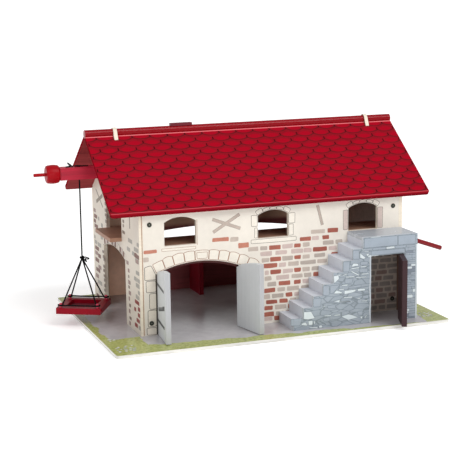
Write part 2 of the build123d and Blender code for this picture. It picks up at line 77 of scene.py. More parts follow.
def makeCamera():
    yaw, pitch, roll = (math.radians(camera[k]) for k in ("yaw", "pitch", "roll"))
    look = Vector((
        math.sin(yaw) * math.cos(pitch), math.cos(yaw) * math.cos(pitch), -math.sin(pitch)
    ))
    side = Vector((math.cos(yaw), -math.sin(yaw), 0))
    over = side.cross(look)
    right = math.cos(roll) * side + math.sin(roll) * over
    up = -math.sin(roll) * side + math.cos(roll) * over
    data = bpy.data.cameras.new("camera")
    data.lens = camera["lens"]
    data.sensor_width = camera["sensor"]
    data.clip_end = camera["farEnd"]
    holder = bpy.data.objects.new("camera", data)
    turn = Matrix((right, up, -look)).transposed().to_4x4()
    holder.matrix_world = Matrix.Translation(camera["place"]) @ turn
    scene.collection.objects.link(holder)
    scene.camera = holder


studio = dict(
    sky=(1.0, 1.0, 1.0), skyStrength=0.52,
    floorTone=(250, 250, 250), floorReach=60.0, floorDrop=0.0004, floorGlow=0.30, floorRough=0.9,
    suns=(  # name, direction, strength and spread in degrees
        ("keySun", (-0.45, 0.85, -1.05), 1.36, 30.0),
        ("sideSun", (0.8, 0.45, -0.8), 0.60, 40.0),
        ("lowSun", (-0.05, 1.0, -0.16), 0.30, 9.0),
    ),
)


def linear(tone):  # sRGB numbers up to 255 to a linear colour
    made = []
    for value in tone:
        c = value / 255
        made.append(c / 12.92 if c <= 0.04045 else ((c + 0.055) / 1.055) ** 2.4)
    return (*made, 1.0)


def makeStudio():
    world = bpy.data.worlds.new("studio")
    scene.world = world
    world.use_nodes = True
    sky = world.node_tree.nodes["Background"]
    sky.inputs[0].default_value = (*studio["sky"], 1)
    sky.inputs[1].default_value = studio["skyStrength"]
    for name, way, strength, spread in studio["suns"]:
        data = bpy.data.lights.new(name, "SUN")
        data.energy = strength
        data.angle = math.radians(spread)
        lamp = bpy.data.objects.new(name, data)
        lamp.rotation_euler = Vector(way).to_track_quat("-Z", "Y").to_euler()
        scene.collection.objects.link(lamp)
    mesh = bpy.data.meshes.new("studioFloor")
    reach = studio["floorReach"]
    corners = ((-reach, -reach), (reach, -reach), (reach, reach), (-reach, reach))
    mesh.from_pydata([(x, y, -studio["floorDrop"]) for x, y in corners], [], [(0, 1, 2, 3)])
    ground = bpy.data.objects.new("studioFloor", mesh)
    scene.collection.objects.link(ground)
    paper = bpy.data.materials.new("studioPaper")
    paper.use_nodes = True
    shader = paper.node_tree.nodes["Principled BSDF"]
    shader.inputs["Base Color"].default_value = linear(studio["floorTone"])
    shader.inputs["Roughness"].default_value = studio["floorRough"]
    shader.inputs["Emission Color"].default_value = (1, 1, 1, 1)
    shader.inputs["Emission Strength"].default_value = studio["floorGlow"]
    mesh.materials.append(paper)


makeCamera()
makeStudio()
scene.view_settings.view_transform = "Standard"
print("camera and studio stand")


def finishMesh(bm, name, sharp=None):
    # the bmesh as an object, shaded smooth up to an angle where one is given
    bmesh.ops.recalc_face_normals(bm, faces=bm.faces)
    bmesh.ops.triangulate(bm, faces=[face for face in bm.faces if len(face.verts) > 4])
    mesh = bpy.data.meshes.new(name)
    bm.to_mesh(mesh)
    bm.free()
    if sharp:
        for face in mesh.polygons:
            face.use_smooth = True
        mesh.set_sharp_from_angle(angle=math.radians(sharp))
    piece = bpy.data.objects.new(name, mesh)
    scene.collection.objects.link(piece)
    return piece


def ring(bm, middle, side, other, radii):  # points round a middle, one for each radius
    made = []
    for k, radius in enumerate(radii):
        turn = 2 * math.pi * k / len(radii)
        out = side * math.cos(turn) + other * math.sin(turn)
        made.append(bm.verts.new(middle + out * radius))
    return made


def skin(bm, rings, closed):  # faces from each ring to the next; a ring may be a single point
    for a, b in zip(rings, rings[1:] + (rings[:1] if closed else [])):
        count = max(len(a), len(b))
        for k in range(count):
            n = (k + 1) % count
            corners = (a[k % len(a)], a[n % len(a)], b[n % len(b)], b[k % len(b)])
            bm.faces.new(list(dict.fromkeys(corners)))


def curveLine(points, perSpan):  # a smooth line that has the points as its control points
    data = bpy.data.curves.new("route", "CURVE")
    data.dimensions = "3D"
    data.resolution_u = perSpan
    spline = data.splines.new("NURBS")
    spline.points.add(len(points) - 1)
    for point, place in zip(spline.points, points):
        point.co = (*place, 1)
    spline.order_u = 3
    spline.use_endpoint_u = True
    holder = bpy.data.objects.new("route", data)
    mesh = bpy.data.meshes.new_from_object(holder)
    line = [v.co.copy() for v in mesh.vertices]
    bpy.data.objects.remove(holder)
    bpy.data.curves.remove(data)
    bpy.data.meshes.remove(mesh)
    return line


cords = dict(  # radius, sides, twist in turns per metre, share of the groove between the strands
    rope=(1.4, 18, 150.0, 0.06), knot=(1.25, 12, 150.0, 0.1), knotBow=(1.2, 10, 150.0, 0.1),
    wrap=(1.2, 12, 160.0, 0.1), beamBow=(0.95, 12, 190.0, 0.12),
)
strands = 3


def cordMesh(name, line, kind, closed=False):  # tube along a line, with strands twisted round it
    radius, sides, twist, groove = cords[kind]
    count = len(line)
    bm = bmesh.new()
    rings = []
    normal = None
    travelled = 0.0
    for i, place in enumerate(line):
        ahead = line[(i + 1) % count] if closed else line[min(i + 1, count - 1)]
        behind = line[i - 1] if closed or i else line[0]
        way = (ahead - behind).normalized()
        if normal is None:
            start = Vector((0, 0, 1)) if abs(way.z) < 0.9 else Vector((1, 0, 0))
            normal = way.cross(start).normalized()
        else:
            normal = (normal - way * normal.dot(way)).normalized()
            travelled += (place - line[i - 1]).length
        radii = []
        for k in range(sides):
            turn = 2 * math.pi * (k / sides + twist * travelled)
            radii.append(radius * mm * (1 - groove + groove * math.cos(strands * turn)))
        rings.append(ring(bm, place, normal, way.cross(normal), radii))
    skin(bm, rings, closed)
    if not closed:
        bm.faces.new(rings[0][::-1])
        bm.faces.new(rings[-1])
    return finishMesh(bm, name, 60)


def lathe(name, profile, centre, axis, segments):
    # turned piece: the profile is (along, radius), closed where it ends at its first point
    axis = Vector(axis)
    side = axis.orthogonal().normalized()
    closed = profile[0] == profile[-1]
    bm = bmesh.new()
    rings = []
    for along, radius in profile[:-1] if closed else profile:
        middle = (Vector(centre) + axis * along) * mm
        radii = [radius * mm] * (segments if radius else 1)
        rings.append(ring(bm, middle, side, axis.cross(side), radii))
    skin(bm, rings, closed)
    return finishMesh(bm, name, 40)


def joined(name, parts):  # one piece made of several
    bm = bmesh.new()
    for part in parts:
        bm.from_mesh(part.data)
        bpy.data.objects.remove(part)
    return finishMesh(bm, name, 60)


hoist = dict(
    x=middleOf("hoist_cord", 0), top=boxOf("hoist_cord")[1][2], low=boxOf("hoist_cord")[0][2],
    axle=middleOf("winch_axle", 2), knot=120.3, neckFrom=263.5, neck=0.72,
)


def onCord(z):
    return Vector((hoist["x"], barn["ridge"], z)) * mm


def straightRoute(start, end, count):
    return [start.lerp(end, i / (count - 1)) for i in range(count)]


def ropeAlong(name, route):
    line = curveLine(route, 10)
    return cordMesh(name, line, "rope"), line


def makeHoistCord():
    top, low = onCord(hoist["top"]), onCord(hoist["low"])
    rope, line = ropeAlong("hoistRope", straightRoute(top, low, 14))
    for vert in rope.data.vertices:  # drawn thin where it runs through the beam
        if vert.co.z > hoist["neckFrom"] * mm:
            vert.co.x = top.x + (vert.co.x - top.x) * hoist["neck"]
            vert.co.y = top.y + (vert.co.y - top.y) * hoist["neck"]
    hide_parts("hoist_cord")
    return rope, line, top, low


knotLook = dict(
    size=3.5, stretch=(0.95, 0.75, 1.15), steps=72,
    bow=(
        (0, 0, 0), (4, -1, 1.8), (9, -2.4, 0.4), (13, -3, -1.8), (9.5, -2.2, -2.8),
        (4.6, -1, -1.2), (6, -2.4, -4.4), (8.4, -3.4, -7.4), (5, -2.2, -5.2), (1, 0, -0.6),
    ),
)


def makeKnot():  # overhand knot, with a small bow at its side
    centre = onCord(hoist["knot"])
    wide, deep, high = (knotLook["size"] * share for share in knotLook["stretch"])
    line = []
    for i in range(knotLook["steps"]):
        t = 2 * math.pi * i / knotLook["steps"]
        x = (math.sin(t) + 2 * math.sin(2 * t)) / 3
        y = (math.cos(t) - 2 * math.cos(2 * t)) / 3
        line.append(centre + Vector((x * wide, -math.sin(3 * t) * deep, y * high)) * mm)
    knot = cordMesh("knotTurns", line, "knot", closed=True)
    bow = curveLine([centre + Vector(p) * mm for p in knotLook["bow"]], 6)
    made = joined("hoistKnot", [knot, cordMesh("knotBow", bow, "knotBow")])
    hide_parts("hoist_knot")
    return made


slings = dict(
    peg=34.0, tie=40.5, trayTurn=-28.0, loop=4.5, tighter=0.97, fromKnot=1.5, tieSide=0.95,
    pull=2.2, sag=0.5,
)


def trayPlace(x, y, z):  # a place on the tray, given square to it, as it hangs
    turn = math.radians(slings["trayTurn"])
    return Vector((
        hoist["x"] + x * math.cos(turn) - y * math.sin(turn),
        barn["ridge"] + x * math.sin(turn) + y * math.cos(turn),
        z,
    )) * mm


def pegPlaces():
    return [Vector((x, y, 0)) * slings["peg"] for x, y in ((-1, -1), (1, -1), (1, 1), (-1, 1))]


def pegWrap(peg):  # twice round a peg, the second turn a little tighter
    turns = []
    for i in range(40):
        t = 2 * math.pi * i / 20
        z = slings["tie"] + 0.5 * math.cos(math.pi * i / 20)
        r = slings["loop"] * (1 if i < 20 else slings["tighter"])
        turns.append(trayPlace(peg.x + r * math.cos(t), peg.y + r * math.sin(t), z))
    return turns


def tieRoute(peg, following):  # along a rail, pulled in and sagging a little between two pegs
    side = (peg + following).normalized() * slings["loop"] * slings["tieSide"]
    way = (following - peg).normalized()
    route = []
    for i in range(8):
        slack = math.sin(math.pi * i / 7)
        place = (peg + side - way).lerp(following + side + way, i / 7)
        place -= side.normalized() * slack * slings["pull"]
        route.append(trayPlace(place.x, place.y, slings["tie"] - 0.2 - slack * slings["sag"]))
    return route


def makeSlings():  # legs from the knot to the pegs, turns round each peg, ties along two rails
    legs, ties, wraps = [], [], []
    pegs = pegPlaces()
    knot = onCord(hoist["knot"])
    for index, peg in enumerate(pegs):
        near = peg - peg.normalized() * slings["loop"]
        end = trayPlace(near.x, near.y, slings["tie"] + 0.6)
        start = knot + (end - knot).normalized() * slings["fromKnot"] * mm
        leg, line = ropeAlong(f"slingLeg{index + 1}", straightRoute(start, end, 7))
        legs.append((leg, line, start))
        wraps.append(cordMesh(f"pegWrap{index + 1}", pegWrap(peg), "wrap", closed=True))
        if index % 2 == 0:
            route = tieRoute(peg, pegs[index + 1])
            tie, line = ropeAlong(f"pegTie{index + 1}", route)
            ties.append((tie, line, route[0]))
    return legs, ties, joined("pegWraps", wraps)


winding = dict(turns=5, steps=14, radius=4.1, reach=4.2)


def makeWinding():  # cord wound on the axle
    route = []
    steps = winding["turns"] * winding["steps"]
    for i in range(steps + 1):
        t = 2 * math.pi * i / winding["steps"]
        route.append(Vector((
            hoist["x"] + winding["reach"] * (2 * i / steps - 1),
            barn["ridge"] + winding["radius"] * math.cos(t),
            hoist["axle"] + winding["radius"] * math.sin(t),
        )) * mm)
    wound, _ = ropeAlong("cordWinding", route)
    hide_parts("winch_cord_turns")
    return wound


spareEnd = dict(
    x=-314.0, y=-3.0, z=288.6,
    loops=(
        ((0, 0, 0), (-3, 1, 3.2), (-7.5, 1.5, 6.4), (-9, 0.5, 7.4), (-8.4, -1.5, 4.6), (-3, -1.4, 1),
         (3, 0, 0.6), (8, 2.5, 1.2), (13, 4, 0.4), (20, 3.4, -0.2), (29, 1.8, -0.2)),
        ((1, 1, 0.2), (-4, 2, 0.8), (-9, 2.4, 0.2), (-13, 1, -0.2), (-10, -1, -0.1), (-3, -1.5, 0.9),
         (5, -2, 1.2), (10, -1.5, 0), (13, -2.6, -0.2)),
    ),
)


def makeBeamBow():  # the cord's spare end, tied in a bow on top of the beam beside the pocket
    base = Vector((spareEnd["x"], barn["ridge"] + spareEnd["y"], spareEnd["z"]))
    made = []
    for index, points in enumerate(spareEnd["loops"]):
        line = curveLine([(base + Vector(p)) * mm for p in points], 7)
        made.append(cordMesh(f"bowLoop{index}", line, "beamBow"))
    return joined("beamBow", made)


hoistRope, hoistLine, hoistTop, hoistLow = makeHoistCord()
hoistKnot = makeKnot()
slingLegs, pegTies, pegWraps = makeSlings()
cordWinding = makeWinding()
beamBow = makeBeamBow()
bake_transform(hoistRope)
for cord, line, start in slingLegs + pegTies:
    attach(cord, "tray")
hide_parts("sling_cords")
for piece in (hoistKnot, pegWraps):
    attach(piece, "tray")
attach(cordWinding, "winch")
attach(beamBow, "barn")
print("cords tied")


class Graph:  # a node tree with short ways to add to it; inputs are sockets or plain values
    def __init__(self, tree):
        self.tree = tree

    def wire(self, node, inputs):
        for key, value in inputs.items():
            if isinstance(value, bpy.types.NodeSocket):
                self.tree.links.new(value, node.inputs[key])
            else:
                node.inputs[key].default_value = value
        return node

    def add(self, kind, inputs, **settings):
        node = self.tree.nodes.new(kind)
        for key, value in settings.items():
            setattr(node, key, value)
        return self.wire(node, inputs)

    def calc(self, operation, *values):
        return self.add("ShaderNodeMath", dict(enumerate(values)), operation=operation).outputs[0]

    def plus(self, a, b):
        return self.calc("ADD", a, b)

    def minus(self, a, b):
        return self.calc("SUBTRACT", a, b)

    def times(self, a, b):
        return self.calc("MULTIPLY", a, b)

    def distance(self, a, b):
        return self.calc("ABSOLUTE", self.minus(a, b))

    def ramp(self, value, low, high, toLow=0.0, toHigh=1.0, kind="SMOOTHSTEP"):
        inputs = {0: value, 1: low, 2: high, 3: toLow, 4: toHigh}
        return self.add("ShaderNodeMapRange", inputs, interpolation_type=kind).outputs[0]

    def mix(self, factor, a, b):  # of two colours
        return self.add("ShaderNodeMix", {0: factor, 6: a, 7: b}, data_type="RGBA").outputs[2]

    def blend(self, factor, a, b):  # of two numbers
        return self.add("ShaderNodeMix", {0: factor, 2: a, 3: b}).outputs[0]

    def split(self, vector):
        return self.add("ShaderNodeSeparateXYZ", {0: vector}).outputs

    def join(self, x, y, z):
        return self.add("ShaderNodeCombineXYZ", {0: x, 1: y, 2: z}).outputs[0]

    def noise(self, vector, scale, detail, rough=0.5, distortion=0.0):
        return self.add("ShaderNodeTexNoise", {
            "Vector": vector, "Scale": scale, "Detail": detail, "Roughness": rough,
            "Distortion": distortion,
        }).outputs

    def waver(self, vector, scale, detail, size):  # a number that wanders to both sides of 0
        return self.times(self.minus(self.noise(vector, scale, detail)[0], 0.5), size)

    def shades(self, tone, spread, factor):  # a colour that moves a little to both sides of its tone
        dark = linear([v * (1 - spread) for v in tone])
        light = linear([min(255, v * (1 + spread * 0.7)) for v in tone])
        return self.mix(factor, dark, light)

    def place(self, group, **inputs):
        node = self.tree.nodes.new("ShaderNodeGroup")
        node.node_tree = group
        return self.wire(node, inputs).outputs


def newGroup(name, inputs, outputs):  # an input without a value is a vector
    tree = bpy.data.node_groups.new(name, "ShaderNodeTree")
    for title, value in inputs.items():
        kind = "NodeSocketVector" if value is None else "NodeSocketFloat"
        made = tree.interface.new_socket(name=title, in_out="INPUT", socket_type=kind)
        if value is not None:
            made.default_value = value
    for title in outputs:
        tree.interface.new_socket(name=title, in_out="OUTPUT", socket_type="NodeSocketFloat")
    start = tree.nodes.new("NodeGroupInput")
    return Graph(tree), start.outputs, tree.nodes.new("NodeGroupOutput")


def makeMottle():  # cloudy change of tone: broad patches with a finer speckle
    g, given, end = newGroup("mottle", dict(Vector=None, Scale=20.0, Speckle=0.35), ("Value",))
    broad = g.noise(given["Vector"], given["Scale"], detail=3.0, rough=0.55)[0]
    fine = g.noise(given["Vector"], g.times(given["Scale"], 9.0), detail=2.0, rough=0.6)[0]
    mixed = g.blend(given["Speckle"], broad, fine)
    g.wire(end, {"Value": g.ramp(mixed, 0.3, 0.7, kind="LINEAR")})
    return g.tree


def makeGrain():  # wood fibre: streaks along X of the vector that is given
    g, given, end = newGroup("woodGrain", dict(Vector=None, Along=14.0, Across=420.0), ("Value", "Height"))
    x, y, z = g.split(given["Vector"])
    stretched = g.join(
        g.times(x, given["Along"]), g.times(y, given["Across"]), g.times(z, given["Across"])
    )
    streak = g.noise(stretched, 1.0, detail=4.0, rough=0.6, distortion=0.4)[0]
    wide = g.noise(stretched, 0.22, detail=2.0, distortion=0.8)[0]
    both = g.plus(g.times(streak, 0.6), g.times(wide, 0.4))
    g.wire(end, {"Value": g.ramp(both, 0.34, 0.66, kind="LINEAR"), "Height": streak})
    return g.tree


tile = dict(  # one printed roof tile, in shares of its own width and height
    low=0.93, rise=0.32, bow=2.3, line=0.060, sideLine=0.10, lineSoft=(0.55, 1.25),
    tickSide=(0.462, 0.478), tickTop=(0.18, 0.26), tickEnd=(0.66, 0.60),
    bellyAt=0.52, bellyHigh=0.36, bellyWide=0.38, bellySoft=(1.5, 0.4),
)


def makeRoofScales():  # rows of round-ended tiles: an outline, a tick at each meeting, a lit belly
    g, given, end = newGroup("roofScales", dict(Across=0.0, Down=0.0, Wobble=0.0), ("Line", "Tick", "Belly"))
    down = g.plus(given["Down"], given["Wobble"])
    drop = g.calc("FRACT", down)
    shift = g.times(g.calc("MODULO", g.calc("FLOOR", down), 2.0), 0.5)
    off = g.distance(g.calc("FRACT", g.plus(given["Across"], shift)), 0.5)
    # the lower edge of a tile falls from its sides to its flat middle
    bow = g.calc("POWER", g.times(off, 2.0), tile["bow"])
    away = g.distance(drop, g.minus(tile["low"], g.times(bow, tile["rise"])))
    thick = g.plus(tile["line"], g.times(off, tile["sideLine"]))
    high = g.calc("DIVIDE", g.minus(drop, tile["bellyAt"]), tile["bellyHigh"])
    wide = g.calc("DIVIDE", off, tile["bellyWide"])
    upright = g.times(g.ramp(drop, *tile["tickTop"]), g.ramp(drop, *tile["tickEnd"]))
    g.wire(end, {
        "Line": g.ramp(g.calc("DIVIDE", away, thick), *tile["lineSoft"], 1.0, 0.0),
        "Tick": g.times(g.ramp(off, *tile["tickSide"]), upright),
        "Belly": g.ramp(
            g.plus(g.calc("POWER", high, 2.0), g.calc("POWER", wide, 2.0)), *tile["bellySoft"]
        ),
    })
    return g.tree


def makeRubble():  # field stones: joints between flattened cells, and a random number for each
    g, given, end = newGroup("rubble", dict(Vector=None, Scale=60.0, Joint=0.06), ("Joints", "Pick"))
    bent = g.noise(given["Vector"], g.times(given["Scale"], 0.6), detail=1.0)["Color"]
    push = g.add("ShaderNodeVectorMath", {0: bent, 1: (0.5, 0.5, 0.5)}, operation="SUBTRACT")
    small = g.add("ShaderNodeVectorMath", {0: push.outputs[0], "Scale": 0.008}, operation="SCALE")
    spot = g.add("ShaderNodeVectorMath", {0: given["Vector"], 1: small.outputs[0]}).outputs[0]
    shared = {"Vector": spot, "Scale": given["Scale"], "Randomness": 0.92}
    cells = g.add("ShaderNodeTexVoronoi", shared, feature="DISTANCE_TO_EDGE")
    names = g.add("ShaderNodeTexVoronoi", shared, feature="F1")
    joints = g.ramp(cells.outputs["Distance"], 0.0, given["Joint"], 1.0, 0.0)
    g.wire(end, {"Joints": joints, "Pick": g.split(names.outputs["Color"])[0]})
    return g.tree


mottle, woodGrain, roofScales, rubble = makeMottle(), makeGrain(), makeRoofScales(), makeRubble()


class Paint(Graph):  # one material and what its colour is worked out from
    def __init__(self, name, specular=0.3):
        self.material = bpy.data.materials.new(name)
        self.material.use_nodes = True
        super().__init__(self.material.node_tree)
        self.shader = self.tree.nodes["Principled BSDF"]
        self.shader.inputs["Specular IOR Level"].default_value = specular
        spot = self.tree.nodes.new("ShaderNodeTexCoord").outputs
        self.where, self.normal = spot["Object"], spot["Normal"]

    def clouds(self, scale, speckle=0.35):
        return self.place(mottle, Vector=self.where, Scale=scale, Speckle=speckle)["Value"]

    def fibre(self, along, across, vector=None):
        vector = self.where if vector is None else vector
        return self.place(woodGrain, Vector=vector, Along=along, Across=across)

    def side(self, axis, sign):  # 1 on the faces that look along one axis, 0 elsewhere
        return self.ramp(self.times(self.split(self.normal)[axis], float(sign)), 0.6, 0.8)

    def finish(self, colour, clouds, rough, play, height=None, strength=0.0, distance=0.0002):
        # the clouds move the roughness to both sides of rough, by play
        rough = self.ramp(clouds, 0, 1, rough - play, rough + play, "LINEAR")
        self.wire(self.shader, {"Base Color": colour, "Roughness": rough})
        if height is not None:
            bump = {"Strength": strength, "Distance": distance, "Height": height}
            self.wire(self.shader, {"Normal": self.add("ShaderNodeBump", bump).outputs[0]})
        return self.material


def paintedWood(name, tone, rough=0.35, spread=0.08, grain=0.25, coat=0.0, axis=0, relief=0.15,
                specular=0.3, edge=None):
    # paint over wood: the fibre shows faintly through it, along one axis
    paint = Paint(name, specular)
    parts = paint.split(paint.where)
    along = paint.join(parts[axis], parts[(axis + 1) % 3], parts[(axis + 2) % 3])
    fibre = paint.fibre(16.0, 380.0, along)
    clouds = paint.clouds(24.0)
    mixed = paint.blend(grain, clouds, fibre["Value"])
    colour = paint.shades(tone, spread, mixed)
    if edge:  # painted shade: faces that look along Y, the leaves' edges, take the darker edge tone
        shadedEdges = paint.ramp(paint.calc("ABSOLUTE", paint.split(paint.normal)[1]), 0.6, 0.8)
        colour = paint.mix(shadedEdges, colour, paint.shades(edge, spread, mixed))
    if coat:
        paint.shader.inputs["Coat Weight"].default_value = coat
        paint.shader.inputs["Coat Roughness"].default_value = 0.12
    return paint.finish(colour, clouds, rough=rough, play=0.05, height=fibre["Height"], strength=relief)


def wallBoard(name, outer, axis, sign, inner, cut, litLeftInner=None, upperInner=None):
    # printed plywood: a cream print outside, stain inside and a pale cut edge
    paint = Paint(name)
    clouds = paint.clouds(11.0, speckle=0.3)
    fibre = paint.fibre(22.0, 300.0)
    insideFace = paint.shades(inner, 0.12, fibre["Value"])
    if litLeftInner:  # painted light: the inside is paler towards the left corner, where light through the gable door falls
        across = paint.ramp(paint.split(paint.where)[0], -0.175, -0.150)
        insideFace = paint.mix(across, paint.shades(litLeftInner, 0.08, clouds), insideFace)
    if upperInner:  # the inside is also paler above the bay
        above = paint.ramp(paint.split(paint.where)[2], 0.130, 0.142)
        insideFace = paint.mix(above, insideFace, paint.shades(upperInner, 0.08, clouds))
    body = paint.mix(paint.side(axis, -sign), paint.shades(cut, 0.04, fibre["Value"]), insideFace)
    colour = paint.mix(paint.side(axis, sign), body, paint.shades(outer, 0.035, clouds))
    return paint.finish(colour, clouds, rough=0.48, play=0.06, height=fibre["Height"], strength=0.10)


def makeSteel(name, tone, rough):
    paint = Paint(name)
    clouds = paint.clouds(300.0)
    paint.shader.inputs["Metallic"].default_value = 0.9
    return paint.finish(paint.shades(tone, 0.12, clouds), clouds, rough=rough, play=0.08)


def makeBoltSteel(name):  # dark bolt heads whose sunk middle shines a little
    paint = Paint(name)
    near = [(barn["front"] - depth) * mm for depth in (0.9, 0.6)]
    sunk = paint.ramp(paint.split(paint.where)[1], *near)
    clouds = paint.clouds(260.0)
    head = paint.shades((52, 56, 48), 0.2, clouds)
    middle = paint.shades((120, 118, 110), 0.15, clouds)
    paint.shader.inputs["Metallic"].default_value = 0.4
    return paint.finish(paint.mix(sunk, head, middle), clouds, rough=0.45, play=0.08)


def makeCordBlack(name):  # braided cord: a fine check of threads
    paint = Paint(name, 0.1)
    threads = paint.add("ShaderNodeTexVoronoi", {"Vector": paint.where, "Scale": 2600.0})
    clouds = paint.clouds(300.0)
    colour = paint.shades((9, 9, 10), 0.3, clouds)
    return paint.finish(
        colour, clouds, rough=0.72, play=0.08, height=threads.outputs[0], strength=0.5, distance=0.0001
    )


# the pale pink tone is a painted highlight, laid along the ridge and near the eave
roofPrint = dict(
    width=33.16, pitch=16.6, red=(142, 21, 34), belly=(163, 12, 33), line=(100, 25, 30),
    tick=(48, 8, 14), paintedHighlight=(232, 118, 124), border=(150, 20, 34), edge=(128, 16, 28),
    under=(150, 64, 66), firstRow=0.30, firstTile=8.172, ridgeHighlight=(9.7, 10.8), eaveHighlight=4.0,
)


def makeRoofPrint(name, side):  # tiles on the upper face, stain below, a painted edge round it
    paint = Paint(name, 0.0)
    x, y, z = paint.split(paint.where)
    pitch = math.radians(barn["pitch"])
    slope = barn["slope"]
    out = paint.times(paint.minus(y, barn["ridge"] * mm), side * math.cos(pitch))
    fall = paint.times(paint.minus(barn["pole"] * mm, z), math.sin(pitch))
    down = paint.plus(out, fall)
    rows = paint.calc("DIVIDE", down, roofPrint["pitch"] * mm)
    tiles = paint.calc("DIVIDE", x, roofPrint["width"] * mm)
    scales = paint.place(
        roofScales, Across=paint.plus(tiles, roofPrint["firstTile"]),
        Down=paint.minus(rows, roofPrint["firstRow"]),
        Wobble=paint.waver(paint.where, 40.0, detail=1.0, size=0.22),
    )
    clouds = paint.clouds(30.0, speckle=0.4)
    top = paint.shades(roofPrint["red"], 0.08, clouds)
    for share, tone in (
        (scales["Belly"], "belly"), (paint.times(scales["Line"], 0.9), "line"),
        (paint.times(scales["Tick"], 0.9), "tick"),
        (paint.ramp(down, (slope - 4.6) * mm, (slope - 4.2) * mm), "border"),
    ):
        top = paint.mix(share, top, linear(roofPrint[tone]))
    # painted highlight: a pale pink line along the ridge, and a fainter one near the eave, where light
    # catches the panels' edges
    paintedHighlight = paint.ramp(down, *(v * mm for v in roofPrint["ridgeHighlight"]), 1.0, 0.0)
    eave = paint.distance(down, (slope - roofPrint["eaveHighlight"]) * mm)
    highlighted = paint.calc("MAXIMUM", paintedHighlight, paint.ramp(eave, 0.5 * mm, 1.0 * mm, 0.45, 0.0))
    top = paint.mix(highlighted, top, linear(roofPrint["paintedHighlight"]))
    fibre = paint.fibre(16.0, 300.0)
    upward = (0, side * math.sin(pitch), math.cos(pitch))
    facing = paint.add("ShaderNodeVectorMath", {0: paint.normal, 1: upward}, operation="DOT_PRODUCT")
    facing = facing.outputs["Value"]
    edge = paint.shades(roofPrint["edge"], 0.1, fibre["Value"])
    under = paint.shades(roofPrint["under"], 0.14, fibre["Value"])
    body = paint.mix(paint.ramp(facing, -0.8, -0.6, 1.0, 0.0), edge, under)
    colour = paint.mix(paint.ramp(facing, 0.6, 0.8), body, top)
    return paint.finish(colour, clouds, rough=0.42, play=0.06, height=fibre["Height"], strength=0.08)


stonePrint = dict(
    stone=(154, 163, 172), shade=(138, 148, 158), light=(200, 209, 213), joint=(112, 122, 128),
    edge=(196, 202, 208), inner=(128, 98, 84), flatness=3.0, size=46.0, jointWidth=0.085,
)


def makeStonePrint(name, axis, sign):  # rubble printed on the stairs' boards
    paint = Paint(name)
    parts = paint.split(paint.where)
    stretched = paint.join(parts[1 - axis], paint.times(parts[2], stonePrint["flatness"]), 0.0)
    stones = paint.place(
        rubble, Vector=stretched, Scale=stonePrint["size"], Joint=stonePrint["jointWidth"]
    )
    clouds = paint.clouds(60.0, speckle=0.4)
    printed = paint.shades(stonePrint["stone"], 0.07, clouds)
    for share, tone in (
        (paint.times(stones["Pick"], 0.35), "shade"), (paint.ramp(stones["Pick"], 0.975, 0.98), "light"),
        (paint.times(stones["Joints"], 0.85), "joint"),
    ):
        printed = paint.mix(share, printed, linear(stonePrint[tone]))
    edge = paint.shades(stonePrint["edge"], 0.06, clouds)
    inner = paint.shades(stonePrint["inner"], 0.1, clouds)
    body = paint.mix(paint.side(axis, -sign), edge, inner)
    colour = paint.mix(paint.side(axis, sign), body, printed)
    return paint.finish(colour, clouds, rough=0.5, play=0.06, height=clouds, strength=0.06)


ground = dict(
    leftStrip=-0.295, rightStrip=0.266, backStrip=0.208, frontNear=-0.178, frontSlope=0.09,
    frontFrom=-0.19, cornerLeft=-0.243, cornerDepth=-0.118, soft=0.0025, wave=0.022,
    blade=(132, 142, 62), bladeLight=(184, 190, 108), tuft=(196, 200, 140), paving=(188, 185, 188),
    edge=(214, 212, 206),
)


def makeGroundPrint(name):  # grass round the house, paving before its doors, a pale edge
    paint = Paint(name, 0.5)
    parts = paint.split(paint.where)
    wave = paint.waver(paint.where, 38.0, detail=4.0, size=ground["wave"])
    x, y = paint.plus(parts[0], wave), paint.plus(parts[1], wave)
    slant = paint.times(paint.minus(x, ground["frontFrom"]), -ground["frontSlope"])
    frontLine = paint.plus(slant, ground["frontNear"])

    def past(a, b):  # 1 where a is over b
        return paint.ramp(paint.minus(a, b), 0.0, ground["soft"])

    grass = paint.times(past(ground["cornerLeft"], x), past(ground["cornerDepth"], y))
    for strip in (
        past(frontLine, y), past(ground["leftStrip"], x), past(x, ground["rightStrip"]),
        past(y, ground["backStrip"]),
    ):
        grass = paint.calc("MAXIMUM", grass, strip)
    blades = paint.ramp(paint.noise(paint.where, 170.0, detail=4.0, rough=0.7)[0], 0.35, 0.65)
    green = paint.mix(blades, linear(ground["blade"]), linear(ground["bladeLight"]))
    green = paint.mix(paint.times(paint.clouds(26.0, speckle=0.5), 0.5), green, linear(ground["tuft"]))
    slabs = paint.clouds(9.0, speckle=0.3)
    top = paint.mix(grass, paint.shades(ground["paving"], 0.09, slabs), green)
    fibre = paint.fibre(22.0, 300.0)
    edge = paint.shades(ground["edge"], 0.10, fibre["Value"])
    colour = paint.mix(paint.side(2, 1), edge, top)
    return paint.finish(colour, slabs, rough=0.2, play=0.04, height=fibre["Height"], strength=0.06)


def printedInk(name, tone, spread=0.1):  # flat ink, with the uneven tone that it has on wood
    paint = Paint(name)
    clouds = paint.clouds(60.0, speckle=0.45)
    colour = paint.shades(tone, spread, clouds)
    return paint.finish(colour, clouds, rough=0.5, play=0.05, height=clouds, strength=0.05)


